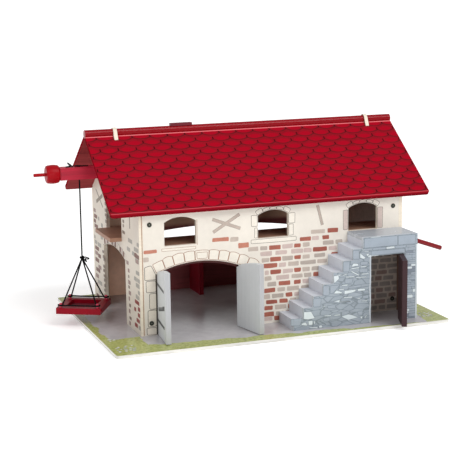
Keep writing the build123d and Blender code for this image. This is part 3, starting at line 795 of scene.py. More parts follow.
cream, brownStain, cutEdge = (228, 221, 210), (150, 118, 100), (232, 221, 203)
walls = dict(
    creamWall=(cream, 1, -1, brownStain, cutEdge),
    leftWall=((222, 213, 199), 0, -1, brownStain, cutEdge),
    rightWall=(cream, 0, 1, brownStain, cutEdge),
    # the back wall's inside is painted paler towards the left corner, painted light from the gable door, and
    # paler above the bay
    backWall=(cream, 1, 1, (140, 68, 70), cutEdge, (236, 192, 166), (212, 172, 146)),
)
woods = dict(
    stopBoard=dict(tone=(84, 40, 40), rough=0.55, spread=0.12, grain=0.6),
    postWood=dict(tone=(206, 182, 146), rough=0.6, spread=0.12, grain=0.8, axis=2),
    loftBoard=dict(tone=(166, 126, 104), rough=0.5, spread=0.12, grain=0.6),
    dividerBoard=dict(tone=(140, 14, 36), rough=0.45, spread=0.1, grain=0.5),
    treadBoard=dict(tone=(205, 210, 219), rough=0.5, spread=0.04, grain=0.4),
    landingBoard=dict(tone=(184, 190, 197), rough=0.25, spread=0.04, grain=0.4),
    redGloss=dict(tone=(158, 4, 18), rough=0.36, spread=0.05, grain=0.2, specular=0.12),
    # the pegs' red is lighter and pinker than the tray's: partly their paint, partly painted highlight
    pegRed=dict(tone=(205, 56, 84), rough=0.2, spread=0.05, grain=0.2, coat=0.6),
    poleRed=dict(tone=(140, 5, 20), rough=0.22, spread=0.05, grain=0.3, specular=0.14),
    rodRed=dict(tone=(126, 4, 16), rough=0.45, spread=0.05, grain=0.3),
    perchRed=dict(tone=(104, 22, 36), rough=0.45, spread=0.1, grain=0.5),
    beamStain=dict(tone=(174, 26, 52), rough=0.42, spread=0.16, grain=0.85, relief=0.25),
    trayRed=dict(tone=(136, 6, 27), rough=0.36, spread=0.1, grain=0.4, specular=0.12),
    trayDark=dict(tone=(112, 40, 52), rough=0.5, spread=0.16, grain=0.7),
    # the leaves' edges take a darker tone: painted shade
    leafGrey=dict(tone=(208, 211, 213), rough=0.5, spread=0.04, grain=0.5, axis=2,
                  edge=(176, 177, 179)),
    leafDark=dict(tone=(54, 30, 34), rough=0.5, spread=0.1, grain=0.6, axis=2),
)
inkTones = dict(  # tone and how far it wanders
    brickRed=((168, 98, 82), 0.1), brickRust=((158, 88, 74), 0.1), brickPale=((188, 124, 104), 0.1),
    brickTaupe=((190, 176, 165), 0.06), brickGrey=((180, 168, 158), 0.06),
    # darker copies of the joint and brick inks, for the painted shade on the wall behind the stairs
    brickPink=((200, 180, 173), 0.06), shadeJoint=((198, 184, 174), 0.06),
    shadeBrick=((158, 134, 126), 0.1), shadeTaupe=((156, 145, 139), 0.1),
    # the dark ink of the jamb line is a painted shadow
    lineInk=((158, 118, 96), 0.12), darkLineInk=((116, 106, 97), 0.12), jambInk=((64, 56, 50), 0.1),
    stoneInk=((233, 226, 214), 0.04), stoneInkWarm=((228, 219, 206), 0.05),
    stoneInkPink=((201, 184, 176), 0.06), timberInk=((186, 171, 160), 0.08),
    gableDark=((122, 88, 76), 0.1), gableMauve=((154, 130, 123), 0.08),
    gableGrey=((166, 161, 152), 0.08), gableEdge=((128, 110, 97), 0.1),
    gableRed=((140, 66, 60), 0.1), gableTimber=((138, 127, 114), 0.08),
    stairJoint=((112, 122, 128), 0.06), stairBlock=((155, 164, 174), 0.05),
    stairSmooth=((156, 166, 177), 0.04), stairLight=((208, 216, 219), 0.03),
    stairDark=((128, 136, 148), 0.08), stairEdge=((200, 207, 211), 0.03),
    leafLine=((84, 87, 90), 0.1), leafLatch=((126, 128, 130), 0.08),
    cobblePale=((206, 206, 200), 0.06), cobbleGrey=((168, 170, 168), 0.08),
    cobbleEdge=((128, 134, 112), 0.08),
)
paints = dict(
    pinSteel=makeSteel("pinSteel", (190, 190, 192), 0.3), boltSteel=makeBoltSteel("boltSteel"),
    cordBlack=makeCordBlack("cordBlack"), groundPrint=makeGroundPrint("groundPrint"),
    frontRoofPrint=makeRoofPrint("frontRoofPrint", -1), backRoofPrint=makeRoofPrint("backRoofPrint", 1),
    stairPrint=makeStonePrint("stairPrint", 1, -1), stairSidePrint=makeStonePrint("stairSidePrint", 0, 1),
)
paints.update((name, wallBoard(name, *look)) for name, look in walls.items())
paints.update((name, paintedWood(name, **look)) for name, look in woods.items())
inks = {name: printedInk(name, *look) for name, look in inkTones.items()}
print("materials mixed")

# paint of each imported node, and the width of its softened edges in millimetres
finishes = dict(
    base_board=("groundPrint", 0.5), front_wall=("creamWall", 0.35), left_gable=("leftWall", 0.35),
    right_gable=("rightWall", 0.35), back_wall=("backWall", 0.35), corner_posts=("postWood", 0.4),
    corner_bolts=("boltSteel", 0), door_stop=("stopBoard", 0.3), loft_floor=("loftBoard", 0.4),
    floor_battens=("postWood", 0.4), stall_divider=("dividerBoard", 0.5),
    stair_front_panel=("stairPrint", 0.35), stair_treads=("treadBoard", 0.3),
    stair_risers=("treadBoard", 0), stair_landing=("landingBoard", 0.4),
    stair_side_panel=("stairSidePrint", 0.35), ridge_pole=("poleRed", 0), ridge_perch=("perchRed", 0.4),
    crane_beam=("beamStain", 0.9), crane_socket=("postWood", 0.5), side_rod=("rodRed", 0.6),
    front_roof_panel=("frontRoofPrint", 0.5), back_roof_panel=("backRoofPrint", 0.5),
    front_ridge_batten=("perchRed", 0.5), back_ridge_batten=("perchRed", 0.5),
    main_door_left=("leafGrey", 0.5), main_door_right=("leafGrey", 0.5), stair_door=("leafDark", 0.5),
    main_door_left_pin=("pinSteel", 0), main_door_right_pin=("pinSteel", 0),
    stair_door_pin=("pinSteel", 0), winch_knob=("redGloss", 0), winch_axle=("redGloss", 0),
    winch_cord_turns=("cordBlack", 0), hoist_cord=("cordBlack", 0), hoist_knot=("cordBlack", 0),
    sling_cords=("cordBlack", 0), tray_floor=("trayDark", 0.4), tray_rim=("trayRed", 1.1),
    tray_pegs=("redGloss", 0),
)


def finishNodes():
    for name, (paint, soften) in finishes.items():
        node = nodes[name]
        if not node.material_slots:
            node.data.materials.append(paints[paint])
        for slot in node.material_slots:
            slot.material = paints[paint]
        if soften:
            weld = node.modifiers.new("meetEdges", "WELD")
            weld.merge_threshold = 0.00001
            bevel = node.modifiers.new("softEdges", "BEVEL")
            bevel.width = soften * mm
            bevel.segments = 2
            bevel.limit_method = "ANGLE"
            bevel.angle_limit = math.radians(40)
            bevel.harden_normals = True


finishNodes()
straightCords = [cord for cord, _, _ in slingLegs + pegTies]
for piece in [hoistRope, hoistKnot, pegWraps, cordWinding, beamBow] + straightCords:
    piece.data.materials.clear()
    piece.data.materials.append(paints["cordBlack"])
print("nodes finished")


def flatPlane(origin, across, up, out):
    return Vector(origin), Vector(across), Vector(up), Vector(out)


def leafPlane(pin, opened, closedWay):
    # a leaf's outer face, from its pin to its free edge; opened in degrees from shut
    turn = Matrix.Rotation(math.radians(opened), 3, "Z")
    out = turn @ Vector((0, -1, 0))
    origin = Vector((middleOf(pin, 0), middleOf(pin, 1), 0)) + out * leafLook["pinToFace"]
    return flatPlane(origin, turn @ Vector((closedWay, 0, 0)), (0, 0, 1), out)


leafLook = dict(pinToFace=4.5, strap=5.0, stile=2.0, latch=6.6, latchLine=2.6)
planes = dict(  # origin, across, up and out of each printed face
    front=flatPlane((0, barn["front"], 0), (1, 0, 0), (0, 0, 1), (0, -1, 0)),
    stairs=flatPlane((0, barn["stairFront"], 0), (1, 0, 0), (0, 0, 1), (0, -1, 0)),
    left=flatPlane((barn["left"], 0, 0), (0, 1, 0), (0, 0, 1), (-1, 0, 0)),
    right=flatPlane((barn["right"], 0, 0), (0, 1, 0), (0, 0, 1), (1, 0, 0)),
    back=flatPlane((0, barn["back"], 0), (1, 0, 0), (0, 0, 1), (0, 1, 0)),
    ground=flatPlane((0, 0, barn["floor"]), (1, 0, 0), (0, 1, 0), (0, 0, 1)),
    leftLeaf=leafPlane("main_door_left_pin", -96, 1),
    rightLeaf=leafPlane("main_door_right_pin", 102, -1),
)
# how far a print goes into its board and stands proud of it, in millimetres; step keeps
# shapes that overlap apart
layer = dict(sunk=0.05, shadeSheet=0.06, line=0.10, fill=0.16, over=0.1, step=0.0003)


def softCorners(points, radius, steps=3):  # the outline with its corners rounded off
    made = []
    count = len(points)
    for i in range(count):
        before, here, after = (Vector(points[(i + k) % count]) for k in (-1, 0, 1))
        a, b = before - here, after - here
        start = here + a.normalized() * min(radius, a.length * 0.45)
        end = here + b.normalized() * min(radius, b.length * 0.45)
        for k in range(steps + 1):
            t = k / steps
            made.append((1 - t) ** 2 * start + 2 * t * (1 - t) * here + t * t * end)
    return made


def turnsLeft(points):
    return sum(a[0] * b[1] - b[0] * a[1] for a, b in zip(points, points[1:] + points[:1])) > 0


def inset(points, width):  # the outline drawn smaller by a width
    points = [Vector(p) for p in points]
    if not turnsLeft(points):
        points.reverse()
    made = []
    for i, here in enumerate(points):
        a = (here - points[i - 1]).normalized()
        b = (points[(i + 1) % len(points)] - here).normalized()
        inward = Vector((-(a.y + b.y), a.x + b.x))
        if inward.length < 1e-6:
            inward = Vector((-a.y, a.x))
        made.append(here + inward.normalized() * width)
    return made


def stroke(points, width):  # ribbon along a line, as an outline
    points = [Vector(p) for p in points]
    left, right = [], []
    for i, here in enumerate(points):
        way = (points[min(i + 1, len(points) - 1)] - points[max(i - 1, 0)]).normalized()
        side = Vector((-way.y, way.x)) * width / 2
        left.append(here + side)
        right.append(here - side)
    return left + right[::-1]


def printShapes(name, plane, shapes, body):
    # one piece of many thin closed shapes laid on a board: each is (outline, height, ink)
    origin, across, up, out = planes[plane]
    used = list(dict.fromkeys(ink for _, _, ink in shapes))
    bm = bmesh.new()
    for order, (outline, height, ink) in enumerate(shapes):
        low, high = (
            [bm.verts.new((origin + across * x + up * y + out * lift) * mm) for x, y in outline]
            for lift in (-layer["sunk"], height + order * layer["step"])
        )
        sides = zip(low, low[1:] + low[:1], high[1:] + high[:1], high)
        for corners in (low, high, *sides):
            bm.faces.new(corners).material_index = used.index(ink)
    piece = finishMesh(bm, name)
    for ink in used:
        piece.data.materials.append(inks[ink])
    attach(piece, body)


def drawnStone(outline, ink, edge="lineInk", width=0.9, corner=2.0):  # with a thin line round it
    rounded = softCorners(outline, corner)
    return [(rounded, layer["line"], edge), (inset(rounded, width), layer["fill"], ink)]


def plainBox(left, right, low, high):
    return [(left, low), (right, low), (right, high), (left, high)]


def wornBox(left, right, low, high, rng, play=0.5):  # its corners and sides wander a little
    middle = (left + right) / 2
    made = []
    for z, row in ((low, (left, middle, right)), (high, (right, middle, left))):
        for x, wander, rise in zip(row, (1, 3, 1), (1, 0.7, 1)):
            made.append((x + rng.uniform(-play, play) * wander, z + rng.uniform(-play, play) * rise))
    return made


# rows of the front wall's bricks: height, then (left, right, red or grey)
frontRows = {
    166.0: [(82, 109, "g"), (114, 135, "r")],
    154.3: [(60, 82, "r"), (84, 97, "g"), (104, 117, "r")],
    143.8: [(-38.6, -20, "g"), (-16, -2.6, "g"), (1, 22.7, "r"), (26, 46.4, "g"), (49, 62, "r"),
            (65.5, 79, "g"), (105, 126, "g"), (130, 143, "g")],
    133.3: [(-16, 6, "g"), (13, 35, "g"), (43.5, 66, "g"), (67.6, 83, "g"), (85.5, 113, "r"),
            (116, 132, "g")],
    122.0: [(-13, 1, "g"), (2.4, 23.6, "r"), (26, 46.5, "g"), (49, 61.6, "r"), (65.4, 79, "g"),
            (88, 109, "g"), (121.5, 134, "r")],
    111.0: [(-12, 16, "r"), (19, 33, "g"), (37, 58, "g"), (61, 91, "g"), (94, 113, "g")],
    98.8: [(-8, 0, "g"), (2.8, 23.4, "r"), (26.5, 46.5, "g"), (49, 62, "r"), (65, 79, "g"),
           (83, 97, "g")],
    88.0: [(-8, 5, "g"), (14, 39, "g"), (44, 65, "g"), (68, 82, "g"), (86, 100, "r")],
    77.0: [(-2.6, 14, "g"), (19, 41, "r"), (48.5, 61.5, "r"), (65, 82, "g"), (86, 104, "g")],
    66.0: [(-9, 11.7, "r"), (16, 31, "g"), (35, 58, "g"), (62, 84, "g")],
    55.0: [(-9.6, 2, "g"), (5.5, 28, "g"), (32, 45, "r"), (49, 70, "g")],
    44.5: [(-5.6, 15.7, "r"), (20, 36, "r"), (40, 52, "g")],
    34.0: [(-9, 7, "r"), (11, 33, "g"), (37, 50, "r")],
    22.3: [(-9.5, 9, "r"), (13, 28, "g"), (32, 54, "r")],
    14.0: [(-10, 6, "g"), (10, 31, "r")],
}
looseBricks = [
    (-105.6, -74.6, 166, "p", 7.2), (-72.4, -57.2, 164.5, "g", 8.4), (-57.5, -37.9, 152.3, "p", 9),
    (-231, -207, 154.8, "p", 6.5), (-231.6, -222, 141.3, "t", 8),
]
redKinds = ("brickRed", "brickRust", "brickPale")
brickLook = dict(
    height=7.6, corner=1.5, play=0.5, gap=3.4, lengths=(13, 14, 21, 22, 24), edge=5.5,
    kinds=dict(
        r=("brickRed", "brickRed", "brickRust"), p=("brickPale",), t=("brickTaupe",),
        g=("brickTaupe", "brickTaupe", "brickGrey", "brickPink"),
    ),
)


def brickShape(left, right, z, kind, rng, height=brickLook["height"]):
    half = height / 2 + rng.uniform(-0.3, 0.3)
    outline = wornBox(left, right, z - half, z + half, rng, brickLook["play"])
    ink = rng.choice(brickLook["kinds"][kind])
    return softCorners(outline, brickLook["corner"], 2), layer["fill"], ink


def courses(rng, left, right, low, high, keep=1.0, redShare=0.3, pitch=11.0):
    # rows of bricks over an area; keep is the share of them that is printed
    made = []
    row = 0
    z = low + pitch / 2
    while z < high - 3:
        x = left + (row % 2) * 8 + rng.uniform(0, 5)
        while x < right - 8:
            end = min(x + rng.choice(brickLook["lengths"]), right)
            if rng.random() < keep and end - x > 7:
                kind = "r" if rng.random() < redShare else "g"
                made.append(brickShape(x, end, z, kind, rng))
            x = end + brickLook["gap"]
        z += pitch
        row += 1
    return made


underLanding = dict(
    top=145, right=154, gap=4, redShare=0.35, shadeSheet=(155.5, 254.5, 6.3, 153.5), area=(157, 254, 8, 153),
)


def printFrontBricks():
    rng = random.Random(7)
    edge = brickLook["edge"]
    shapes = []
    for z, row in frontRows.items():
        for left, right, kind in row:
            shapes.append(brickShape(left, right, z, kind, rng))
    for left, right, z, kind, height in looseBricks:
        shapes.append(brickShape(left, right, z, kind, rng, height))
    for z, row in frontRows.items():  # on under the landing
        if z < underLanding["top"]:
            start = max(right for _, right, _ in row) + underLanding["gap"]
            shapes += courses(
                rng, start, underLanding["right"], z - edge, z + edge, redShare=underLanding["redShare"]
            )
    printShapes("frontBricks", "front", shapes, "barn")
    # painted shade: the wall behind the stairs, seen through the stair door, is a dark sheet with darker
    # copies of the bricks
    shapes = [(plainBox(*underLanding["shadeSheet"]), layer["shadeSheet"], "shadeJoint")]
    for outline, height, ink in courses(rng, *underLanding["area"]):
        shapes.append((outline, height, "shadeBrick" if ink in redKinds else "shadeTaupe"))
    printShapes("underStairBricksInShade", "front", shapes, "barn")


mainArch = dict(
    x=-129.2, z=-66.8, radius=198.3, low=1.0, high=18.5, keyLine=0.8,
    marks=(-23.6, -18.4, -13.4, -7.8, -2.4, 4.7, 9.8, 15.0, 20.2, 25.4, 31.0),
    bows=(0.2, 2.2, 1.8, 1.2, 0.6, 1.0, 1.5, 1.8, 2.2, 2.4),
    key=((3.6, -1.5), (3.6, 3.9), (15.5, 4.0), (15.5, -1.6)),
)
springer = [
    (-230.4, 104.5), (-209.4, 104.5), (-209.4, 113.6), (-217.4, 130.0), (-221.5, 130.4), (-230.4, 127.8),
]
quoins = [
    (-228, -209.6, 82.5, 103.5), (-222.5, -209.6, 52.5, 81.5),
    (-226, -209.6, 21.5, 51.5), (-229, -209.6, 6.4, 20.5),
]
# left, right, low and high of the stones round the middle window and the upper doorway, then
# how far their sides wander and how round their corners are
windowStones = [
    (-34, 53, 153, 161, 0.6, 2), (-26.5, -20.6, 163, 182, 0.3, 1.5), (-32.5, -20.6, 184, 204.5, 0.4, 2),
    (38.6, 48, 163, 184, 0.3, 1.5), (38.6, 50.9, 185, 204, 0.4, 2),
]
doorwayStones = [(144.5, 154.4, 164.5, 201, 0.4, 1.5), (213.6, 224, 163, 202, 0.4, 1.5)]
frontLines = dict(
    jamb=[(-209.5, 6.6), (-209.5, 60), (-209.6, 113.8)], ledge=(-198.5, -136, 153.2, 158.2),
    frame=[(-133.4, 160), (-133.4, 205)], corner=[(-233.4, 7), (-233.1, 120), (-233.4, 224)],
)
# both ends and the width of each timber
timbers = [
    ((-105, 203), (-53, 183), 4.8), ((-54.2, 208.7), (-104, 179.7), 4.8), ((94.5, 214), (104, 177), 4.6),
]


def archOf(left, width, spring, crown):  # middle, centre, radius and half angle of a shallow arch
    half, rise = width / 2, crown - spring
    radius = (half**2 + rise**2) / (2 * rise)
    return left + half, crown - radius, radius, math.degrees(math.asin(half / radius))


def archStones(x, z, radius, low, high, marks, bows, ink="stoneInk", edge="lineInk", width=0.9):
    # wedge stones of an arch, their outer ends a little round
    shapes = []
    for a, b, bow in zip(marks, marks[1:], bows):
        a, b = math.radians(a), math.radians(b)
        outline = [(a + (b - a) * k / 4, radius + low) for k in range(5)]
        for k in range(7):
            outline.append((b + (a - b) * k / 6, radius + high + bow * math.sin(math.pi * k / 6)))
        points = [(x + r * math.sin(t), z + r * math.cos(t)) for t, r in outline]
        shapes += drawnStone(points, ink, edge, width)
    return shapes


def windowArch(left):  # round the head of an upper opening: two haunches and three wedges
    middle, centre, radius, reach = archOf(left, 58, 203.5, 212.0)
    shapes = []
    marks = [reach * share for share in (-1.02, -0.62, -0.2, 0.2, 0.62, 1.02)]
    for a, b, high in zip(marks, marks[1:], (8.6, 5.6, 4.8, 5.6, 8.6)):
        shapes += archStones(
            middle, centre, radius, 0.8, high, (a, b), (0.8,), "stoneInk", "darkLineInk", 0.75
        )
    return shapes


def printFrontStones():  # arch, jamb stones, window surrounds, timber crosses and lines
    rng = random.Random(11)
    arch = mainArch
    shapes = archStones(
        arch["x"], arch["z"], arch["radius"], arch["low"], arch["high"], arch["marks"], arch["bows"]
    )
    shapes += drawnStone(springer, "stoneInkWarm", "darkLineInk", 1.0)
    for left, right, low, high in quoins:
        shapes += drawnStone(
            wornBox(left, right, low, high, rng), "stoneInkWarm", "darkLineInk", 1.0, 3.0
        )
    over = layer["fill"] + layer["over"]
    # painted shadow: a dark line down the left jamb, for the shaded gap beside the open leaf
    shapes.append((stroke(frontLines["jamb"], 2.0), over, "jambInk"))
    # keystone: a plain raised panel line
    key = []
    for r, t in arch["key"]:
        r, t = arch["radius"] + r, math.radians(t)
        key.append((arch["x"] + r * math.sin(t), arch["z"] + r * math.cos(t)))
    rounded = softCorners(key, 2.0)
    shapes.append((rounded, over - 0.05, "lineInk"))
    shapes.append((inset(rounded, arch["keyLine"]), over, "stoneInk"))
    # left window: a ledge and a thin frame line
    shapes += drawnStone(plainBox(*frontLines["ledge"]), "stoneInk", "lineInk", 0.6, 1.2)
    shapes.append((stroke(frontLines["frame"], 0.8), layer["line"], "lineInk"))
    for stones, ink, line, arched in (
        (windowStones, "stoneInk", 0.75, -20), (doorwayStones, "stoneInkPink", 0.7, 155),
    ):
        for left, right, low, high, play, corner in stones:
            outline = wornBox(left, right, low, high, rng, play)
            shapes += drawnStone(outline, ink, "darkLineInk", line, corner)
        shapes += windowArch(arched)
    for a, b, width in timbers:
        shapes.append((stroke([a, b], width + 0.8), layer["line"], "darkLineInk"))
        shapes.append((stroke([a, b], width), layer["fill"], "timberInk"))
    shapes.append((stroke(frontLines["corner"], 1.3), layer["line"], "lineInk"))
    printShapes("frontStones", "front", shapes, "barn")


gableInk = dict(d="gableDark", m="gableMauve", g="gableGrey", e="gableEdge", r="gableRed")
# from, to, height and ink of the gable's bricks
gableBricks = [
    (167, 190, 169, "d"), (151, 161, 168, "g"), (177, 192, 159, "d"), (162, 188, 150, "d"),
    (125, 138, 159, "g"), (94, 107, 193, "e"), (93, 107, 184, "e"), (92, 102, 180, "e"),
    (94, 105, 172, "e"), (-27, -16, 193, "e"), (-25, -17, 185, "e"), (-30, -13, 173, "e"),
    (-76, -50, 165, "g"), (-62, -41, 148, "g"), (-117, -105, 167, "g"), (-114, -87, 156, "g"),
    (-89, -74, 146, "g"), (-106, -90, 146, "d"), (-115, -93, 138, "g"), (184, 194, 127, "g"),
    (125, 144, 135, "g"), (143, 167, 117, "g"), (160, 188, 107, "d"), (168, 189, 97, "m"),
    (147, 167, 95, "d"), (162, 189, 84, "d"), (123, 134, 109, "e"), (121, 132, 99, "e"),
    (156, 186, 65, "d"), (167, 189, 52, "m"), (144, 175, 42, "g"), (167, 190, 12, "d"),
    (121, 131, 100, "e"), (118, 128, 95, "e"), (120, 131, 81, "e"), (121, 132, 73, "e"),
    (118, 130, 63, "e"), (119, 129, 55, "e"), (121, 128, 44, "e"), (122, 129, 35, "e"),
    (-117, -88, 145, "d"), (-114, -94, 136, "m"), (-116, -95, 116, "g"), (-100, -83, 103, "g"),
    (-119, -102, 103, "g"), (-115, -93, 93, "g"), (-117, -105, 82, "g"), (-113, -91, 72, "g"),
    (-111, -84, 62, "r"), (-116, -102, 52, "r"), (-90, -79, 47, "r"), (-114, -101, 41, "r"),
    (-49, -35, 122, "m"), (-54, -43, 109, "m"), (-52, -45, 98, "e"), (-58, -44, 88, "m"),
    (-53, -44, 79, "e"), (-60, -45, 69, "m"), (150, 172, 24, "g"), (176, 192, 34, "m"),
    (146, 168, 73, "m"), (172, 190, 118, "g"), (-112, -92, 30, "r"), (-117, -104, 19, "g"),
    (-98, -80, 19, "r"), (-52, -44, 58, "m"), (-57, -46, 46, "e"), (-53, -43, 35, "m"),
    (-59, -45, 23, "e"), (-53, -44, 13, "m"), (120, 130, 25, "e"), (119, 131, 15, "e"),
    (-28, -14, 205, "e"), (-26, -15, 218, "e"), (93, 106, 205, "e"), (94, 105, 217, "e"),
    (176, 192, 180, "m"),
]
gableArch = dict(
    place=(-26.5, 149.5, 123.0, 134.5), count=15, reach=1.06, joint=0.08, high=11.5,
    inks=("stoneInkWarm", "gableDark", "stoneInkPink", "gableDark", "stoneInkWarm"),
)


def printLeftGable():  # bricks, arch, cross and post of the gable with the crane
    rng = random.Random(19)
    shapes = []
    for left, right, z, kind in gableBricks:
        half = (2.9 if kind == "e" else 3.6) + rng.uniform(-0.2, 0.2)
        outline = softCorners(wornBox(left, right, z - half, z + half, rng, 0.4), 1.5, 2)
        shapes.append((outline, layer["fill"], gableInk[kind]))
    printShapes("leftGableBricks", "left", shapes, "barn")
    middle, centre, radius, reach = archOf(*gableArch["place"])
    reach *= gableArch["reach"]
    shapes = []
    for k in range(gableArch["count"]):
        joint = gableArch["joint"]
        marks = [reach * (2 * (k + end) / gableArch["count"] - 1) for end in (joint, 1 - joint)]
        high = gableArch["high"] + rng.uniform(-1, 1)
        ink = gableArch["inks"][k % 5]
        shapes += archStones(middle, centre, radius, 0.8, high, marks, (0.6,), ink, "gableEdge", 0.5)
    for a, b, width in (
        ((170, 223), (121, 195.5), 3.6), ((121, 218), (168, 199), 7.0), ((-63, 187), (-63, 215), 5.0),
    ):
        shapes.append((stroke([a, b], width), layer["line"], "gableTimber"))
    printShapes("leftGableStones", "left", shapes, "barn")


# area, printed share and red share of the bricks on the sides away from the front
rightAreas = [(-112, 60, 12, 96, 0.45, 0.4), (70, 190, 20, 150, 0.28, 0.3), (-30, 110, 170, 215, 0.3, 0.3)]
backAreas = [
    (-232, -168, 12, 205, 0.5, 0.35), (180, 256, 12, 205, 0.5, 0.35),
    (-150, 170, 10, 52, 0.4, 0.35), (-120, 150, 160, 205, 0.35, 0.35),
]
bay = dict(
    left=-160.0, width=330.0, spring=118.7, crown=131.8, count=15, high=15.5, bow=0.9,
    sill=(56.5, 64), jamb=(66.0, 118), heights=(14, 22), depths=(11, 17), overhang=8,
)


def printRightAndBack():  # looser bricks, and the back bay's stones in the style of the front
    rng = random.Random(23)
    shapes = []
    for area in rightAreas:
        shapes += courses(rng, *area)
    printShapes("rightGableBricks", "right", shapes, "barn")
    shapes = []
    for area in backAreas:
        shapes += courses(rng, *area)
    printShapes("backWallBricks", "back", shapes, "barn")
    left, right, count = bay["left"], bay["left"] + bay["width"], bay["count"]
    middle, centre, radius, reach = archOf(left, bay["width"], bay["spring"], bay["crown"])
    marks = [reach * (2 * k / count - 1) for k in range(count + 1)]
    stones = archStones(middle, centre, radius, 1.0, bay["high"], marks, [bay["bow"]] * count)
    for x, side in ((left - 1, -1), (right + 1, 1)):
        z, top = bay["jamb"]
        while z < top - 2:
            high = min(z + rng.uniform(*bay["heights"]), top)
            far = x + side * rng.uniform(*bay["depths"])
            outline = wornBox(min(x, far), max(x, far), z, high, rng, 0.4)
            stones += drawnStone(outline, "stoneInkWarm", "darkLineInk", 0.5, 2.2)
            z = high + 1
    sill = wornBox(left - bay["overhang"], right + bay["overhang"], *bay["sill"], rng, 0.4)
    stones += drawnStone(sill, "stoneInk", "lineInk", 0.4)
    printShapes("backWallStones", "back", stones, "barn")


printFrontBricks()
printFrontStones()
printLeftGable()
printRightAndBack()
print("walls printed")

lightStones = [
    [(95.5, 98), (105.5, 99), (107, 91.5), (97, 84)],
    [(38.5, 38.5), (53, 38), (60.5, 24.5), (47, 23.5), (38.5, 25)],
    [(47, 21.5), (56, 21.5), (56, 13), (48, 13)], [(58, 20.5), (61, 20), (60.5, 14), (58, 14)],
    [(34, 18), (42, 20), (46, 14.5), (44.5, 12.5), (34.5, 14.5)],
    [(49, 10), (65.5, 9), (65.5, 5.5), (49, 7.5)], [(147, 135.5), (159, 125), (154, 123), (146.5, 126)],
    [(158, 133), (165.5, 132.5), (162, 126)], [(150, 141.5), (165, 140.5), (163.5, 138), (150, 139.5)],
    [(154, 138), (165, 137), (164, 135), (154.5, 136)],
    [(130, 112), (134, 117.5), (143, 116.5), (145, 112), (131, 111)],
    [(129.5, 109.5), (146, 110), (146.5, 107.5), (130, 106.5)],
    [(148, 111), (160, 111), (160, 108.5), (148, 108.5)],
    [(128, 103), (132, 104), (147.5, 95), (143, 94)], [(137, 102.5), (143, 104), (144, 101)],
    [(149.5, 97.5), (164.5, 97.5), (165, 95), (150, 95)],
    [(112, 98), (122.5, 100.5), (123.5, 98.5), (114, 96)],
    [(118.5, 95), (136.5, 94.5), (137, 92), (119.5, 92.5)],
    [(138.5, 92.5), (160.5, 91.5), (161, 89.5), (139, 90)],
    [(110.5, 80.5), (124, 80.5), (123, 77.5), (112, 78)],
    [(96.5, 67.5), (101.5, 72), (114.5, 66.5), (110.5, 64.5), (97, 65.5)],
    [(105, 73.5), (117.5, 73.5), (116.5, 71), (106.5, 71)],
    [(116.5, 69.5), (139, 70), (139, 66), (128.5, 63.5), (116.5, 62.5)],
    [(142.5, 70.5), (157.5, 70), (157.5, 65.5), (142.5, 66)],
    [(114.5, 58), (132.5, 58), (133, 55), (116, 55.5)],
    [(106.5, 50.5), (124, 50), (132.5, 48), (108, 48.5)], [(140, 52), (146, 55), (149.5, 51.5)],
    [(150.5, 48.5), (162.5, 48), (162.5, 45.5), (151, 46.5)],
    [(74, 45), (81.5, 45), (81, 43), (74.5, 43)], [(71, 41.5), (77, 41.5), (76.5, 39.5), (71.5, 40)],
    [(77.5, 28.5), (92.5, 28), (91.5, 25.5), (78, 26)],
    [(96.5, 27.5), (109.5, 27.5), (109.5, 25), (97, 25)], [(147, 19.5), (154, 19.5), (150, 13)],
    [(155.5, 15), (160, 22.5), (161.5, 21), (157.5, 13.5)],
    [(66.5, 10), (72.5, 12), (76, 6.5), (68.5, 6)],
]
blockStones = [
    [(132.5, 141), (145.5, 140.5), (146, 123.5), (133, 124.5)],
    [(114, 122), (127.5, 121.5), (126.5, 102.5), (114, 103)],
    [(75.5, 82), (88, 81.5), (88, 63.5), (75.5, 64)],
    [(56.5, 60.5), (72.5, 60.5), (71.5, 44.5), (56.5, 45)],
    [(14, 28), (36.5, 27), (31.5, 13.5), (14, 15.5)],
    [(148, 119.5), (163, 119), (162.5, 112), (147, 112.5)],
    [(146.5, 106.5), (163, 106.5), (161.5, 98.5), (146, 99.5)],
    [(117.5, 90.5), (134.5, 91), (131.5, 81.5), (117.5, 82)],
    [(89, 81), (109, 81), (95.5, 66.5), (89, 66)], [(124, 76), (150, 78), (149.5, 72), (125, 72.5)],
    [(151.5, 56.5), (164, 58), (164, 50.5), (152.5, 52)],
    [(83.5, 45.5), (99, 46.5), (101, 38.5), (85, 39)], [(75.5, 23), (89, 24.5), (89, 16.5), (76, 17.5)],
    [(142, 29.5), (153, 29.5), (153, 21), (143.5, 21.5)],
]
# lengths and inks of the band under the landing and of the thin row below it
bandStones = [(66, "stairSmooth"), (34.5, "stairSmooth")]
thinStones = [
    (16, "stairBlock"), (26, "stairSmooth"), (17, "stairLight"), (22, "stairSmooth"), (18, "stairBlock"),
]
stairParts = dict(
    rowsFrom=155.0, band=(142.8, 160.4), thin=(137.4, 142.0), lintel=(168.5, 235.5, 128.2, 136.6),
    pillarBack=(236.2, 256.8, 6.4, 137.0), cutEdge=(257.4, 260.3, 0.4, 142.0),
    doorEdge=[
        (167.6, 6.2), (166.6, 30), (167.9, 46), (166.4, 70), (167.8, 92), (166.8, 118), (167.4, 127),
    ],
)
pillar = dict(
    left=236.6, right=256.4, low=7.0, top=134, split=(241, 252), gap=0.7,
    heights=(2.6, 3.4, 4.4, 6.0),
    inks=[f"stair{kind}" for kind in (
        "Block", "Smooth", "Block", "Block", "Dark", "Smooth", "Block", "Light", "Block", "Smooth",
    )],
)


